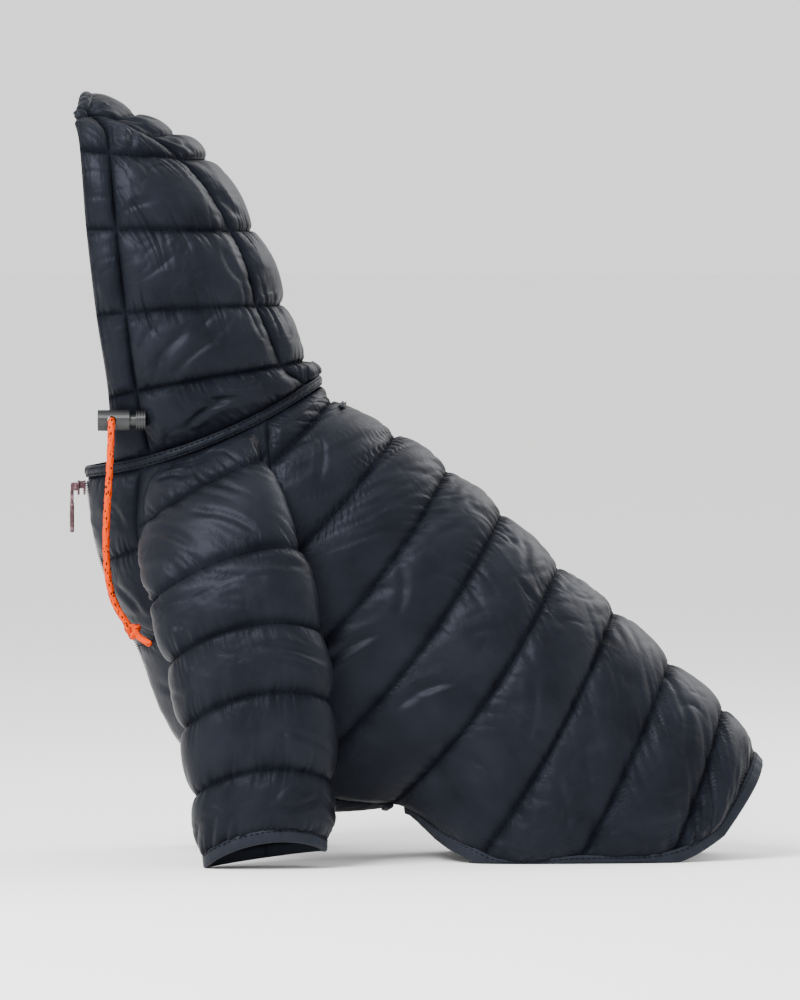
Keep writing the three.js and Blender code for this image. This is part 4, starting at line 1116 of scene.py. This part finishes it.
# A cast plate: an outline of a superellipse, its faces crowned toward the rim, with
# an oval eye through it. The outline lies across the second and third axes.
def castPlate(name, middle, thick, wide, tall, power, eye):
    turn = np.linspace(0, 2 * math.pi, 48, endpoint=False)
    c, s2 = np.cos(turn), np.sin(turn)
    outline = np.stack([np.sign(c) * np.abs(c) ** (2 / power) * wide / 2,
                        np.sign(s2) * np.abs(s2) ** (2 / power) * tall / 2], axis=-1)
    opening = np.stack([c * eye["wide"] / 2, s2 * eye["tall"] / 2 + eye["rise"]], axis=-1)
    shares = np.array([1, 0.93, 0.5, 0.1, 0, 0, 0.1, 0.5, 0.93, 1])
    depths = np.array([0.25, 0.47, 0.5, 0.47, 0.3, -0.3, -0.47, -0.5, -0.47, -0.25]) * thick
    rings = opening[None] + (outline - opening)[None] * shares[:, None, None]
    points = np.concatenate([np.broadcast_to(depths[:, None, None], rings.shape[:2] + (1,)), rings], axis=-1)
    points = points + np.array(middle)
    rings, around = points.shape[:2]
    quads = gridQuads(rings, around, wrapped=True)
    k = np.arange(around)
    last = (rings - 1) * around
    rim = np.stack([last + k, last + (k + 1) % around, (k + 1) % around, k], axis=-1)
    return putMesh(name, points, np.concatenate([quads, rim]))


# Solid rounded block: a cube's grid pushed out to a superellipsoid.
def castBlock(name, middle, size, power=5.0, steps=20):
    up = np.linspace(-math.pi / 2, math.pi / 2, steps)[:, None]
    turn = np.linspace(0, 2 * math.pi, 2 * steps, endpoint=False)[None, :]

    def bend(v):
        return np.sign(v) * np.abs(v) ** (2 / power)

    points = stack(bend(np.cos(up)) * bend(np.cos(turn)) * size[0] / 2,
                   bend(np.cos(up)) * bend(np.sin(turn)) * size[1] / 2,
                   bend(np.sin(up)) * size[2] / 2 * np.ones_like(turn)) + np.array(middle)
    return putMesh(name, points, gridQuads(steps, 2 * steps, wrapped=True))


# The slider: two crowned wings, a waist that feeds the coil, a bridge over the top
# and the pin that holds the pull tab.
sliderValues = {"x": -181.0, "z": 199.5, "pinX": -4.6, "pinZ": 0.6, "wing": 1.3, "wide": 7.4, "long": 8.0}
sliderMiddle = np.array([sliderValues["x"], 0.0, sliderValues["z"]])


def mergePieces(name, parts):
    points, faces, start = [], [], 0
    for part in parts:
        mesh = part.data
        co = np.zeros(len(mesh.vertices) * 3)
        mesh.vertices.foreach_get("co", co)
        corner = np.zeros(len(mesh.loops), int)
        mesh.loops.foreach_get("vertex_index", corner)
        points.append(co.reshape(-1, 3) / mm)
        faces.append(corner.reshape(-1, 4) + start)
        start += len(mesh.vertices)
        bpy.data.objects.remove(part)
    return putMesh(name, np.concatenate(points), np.concatenate(faces))


def pinRod(name, middle, length, radius):
    shape, rodFaces = barShape(length, 2 * radius, 2 * radius, rings=(0.0, 0.06, 0.94, 1.0), sizes=(0.6, 1.0, 1.0, 0.6))
    along = np.array([[0.0, 1.0, 0.0]])
    return scatter(name, shape, rodFaces, np.array([middle]), along, np.array([[1.0, 0, 0]]), np.array([[0, 0, 1.0]]))


wingOffsets = (-1.45, 1.75)
sliderParts = [faceOut(castBlock("wing", sliderMiddle + [x, 0, 0], (sliderValues["wing"], sliderValues["wide"], sliderValues["long"])))
               for x in wingOffsets]
sliderParts.append(faceOut(castBlock("waist", sliderMiddle + [0, 0, 1.6], (3.4, 2.6, 4.2))))
for y in (-1.75, 1.75):
    sliderParts.append(faceOut(castBlock("lug", sliderMiddle + [-3.7, y, sliderValues["pinZ"]], (3.9, 1.2, 4.4))))
sliderParts.append(faceOut(pinRod("pin", sliderMiddle + [sliderValues["pinX"], 0, sliderValues["pinZ"]], 4.5, 0.85)))
sliderPiece = mergePieces("zipSliderCast", sliderParts)
finish(sliderPiece, "zinc", ["zip_slider"])

# The pull tab hangs from the pin by its eye: a short neck, then a plate with a slot.
tabX = sliderValues["x"] + sliderValues["pinX"]
tabZ = sliderValues["z"] + sliderValues["pinZ"]
eyeShape = {"wide": 2.7, "tall": 2.7, "rise": 0.0}
slotShape = {"wide": 1.7, "tall": 8.0, "rise": 1.0}
tabParts = [
    faceOut(castPlate("eye", (tabX, 0, tabZ), 1.6, 4.4, 4.4, 2.0, eyeShape)),
    faceOut(castBlock("neck", (tabX - 0.4, 0, tabZ - 5.2), (1.9, 2.0, 7.6))),
    faceOut(castPlate("plate", (tabX - 0.4, 0, tabZ - 16.6), 2.3, 4.8, 16.4, 3.2, slotShape)),
]
tabPiece = mergePieces("zipPullPlate", tabParts)
finish(tabPiece, "zinc", ["zip_pull"], body="pull_tab")

# The lock keeps its CAD shape; its moulded edges are rounded.
for node in ("cord_lock_barrel", "cord_lock_plunger"):
    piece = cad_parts[node]
    piece.data.materials.clear()
    piece.data.materials.append(materials["acetal"])
    edges = piece.modifiers.new("roundedEdges", "BEVEL")
    edges.width = 0.35 * mm
    edges.segments = 3
    edges.limit_method = "ANGLE"
    edges.angle_limit = math.radians(40)
print("hard pieces finished")

# A pale floor, one soft key light from the upper left, and an even fill.
stage = {"size": 60.0, "floor": "#fbfbfa", "key": 95.0, "rim": 13.0, "world": 1.45}
floorMesh = bpy.data.meshes.new("floor")
reach = stage["size"] / 2
under = -0.2 * mm
floorMesh.from_pydata([(-reach, -reach, under), (reach, -reach, under), (reach, reach, under), (-reach, reach, under)],
                      [], [(0, 1, 2, 3)])
floor = bpy.data.objects.new("floor", floorMesh)
bpy.context.scene.collection.objects.link(floor)
floorMaterial, floorTree, floorShader = newMaterial("studioPaper", {"Roughness": 0.9, "Base Color": linear(stage["floor"])})
floorMesh.materials.append(floorMaterial)


def areaLight(name, power, size, place, turn):
    light = bpy.data.lights.new(name, "AREA")
    light.energy = power
    light.size = size
    lamp = bpy.data.objects.new(name, light)
    lamp.location = place
    lamp.rotation_euler = turn
    bpy.context.scene.collection.objects.link(lamp)


areaLight("keyLight", stage["key"], 1.0, (-0.9, -1.3, 1.5), (math.radians(46), 0, math.radians(-34)))
areaLight("rimLight", stage["rim"], 0.9, (0.9, 0.7, 1.1), (math.radians(-46), 0, math.radians(-48)))
world = bpy.data.worlds.new("studio")
world.use_nodes = True
world.node_tree.nodes["Background"].inputs["Color"].default_value = (1, 1, 1, 1)
world.node_tree.nodes["Background"].inputs["Strength"].default_value = stage["world"]
bpy.context.scene.world = world
print("stage set")
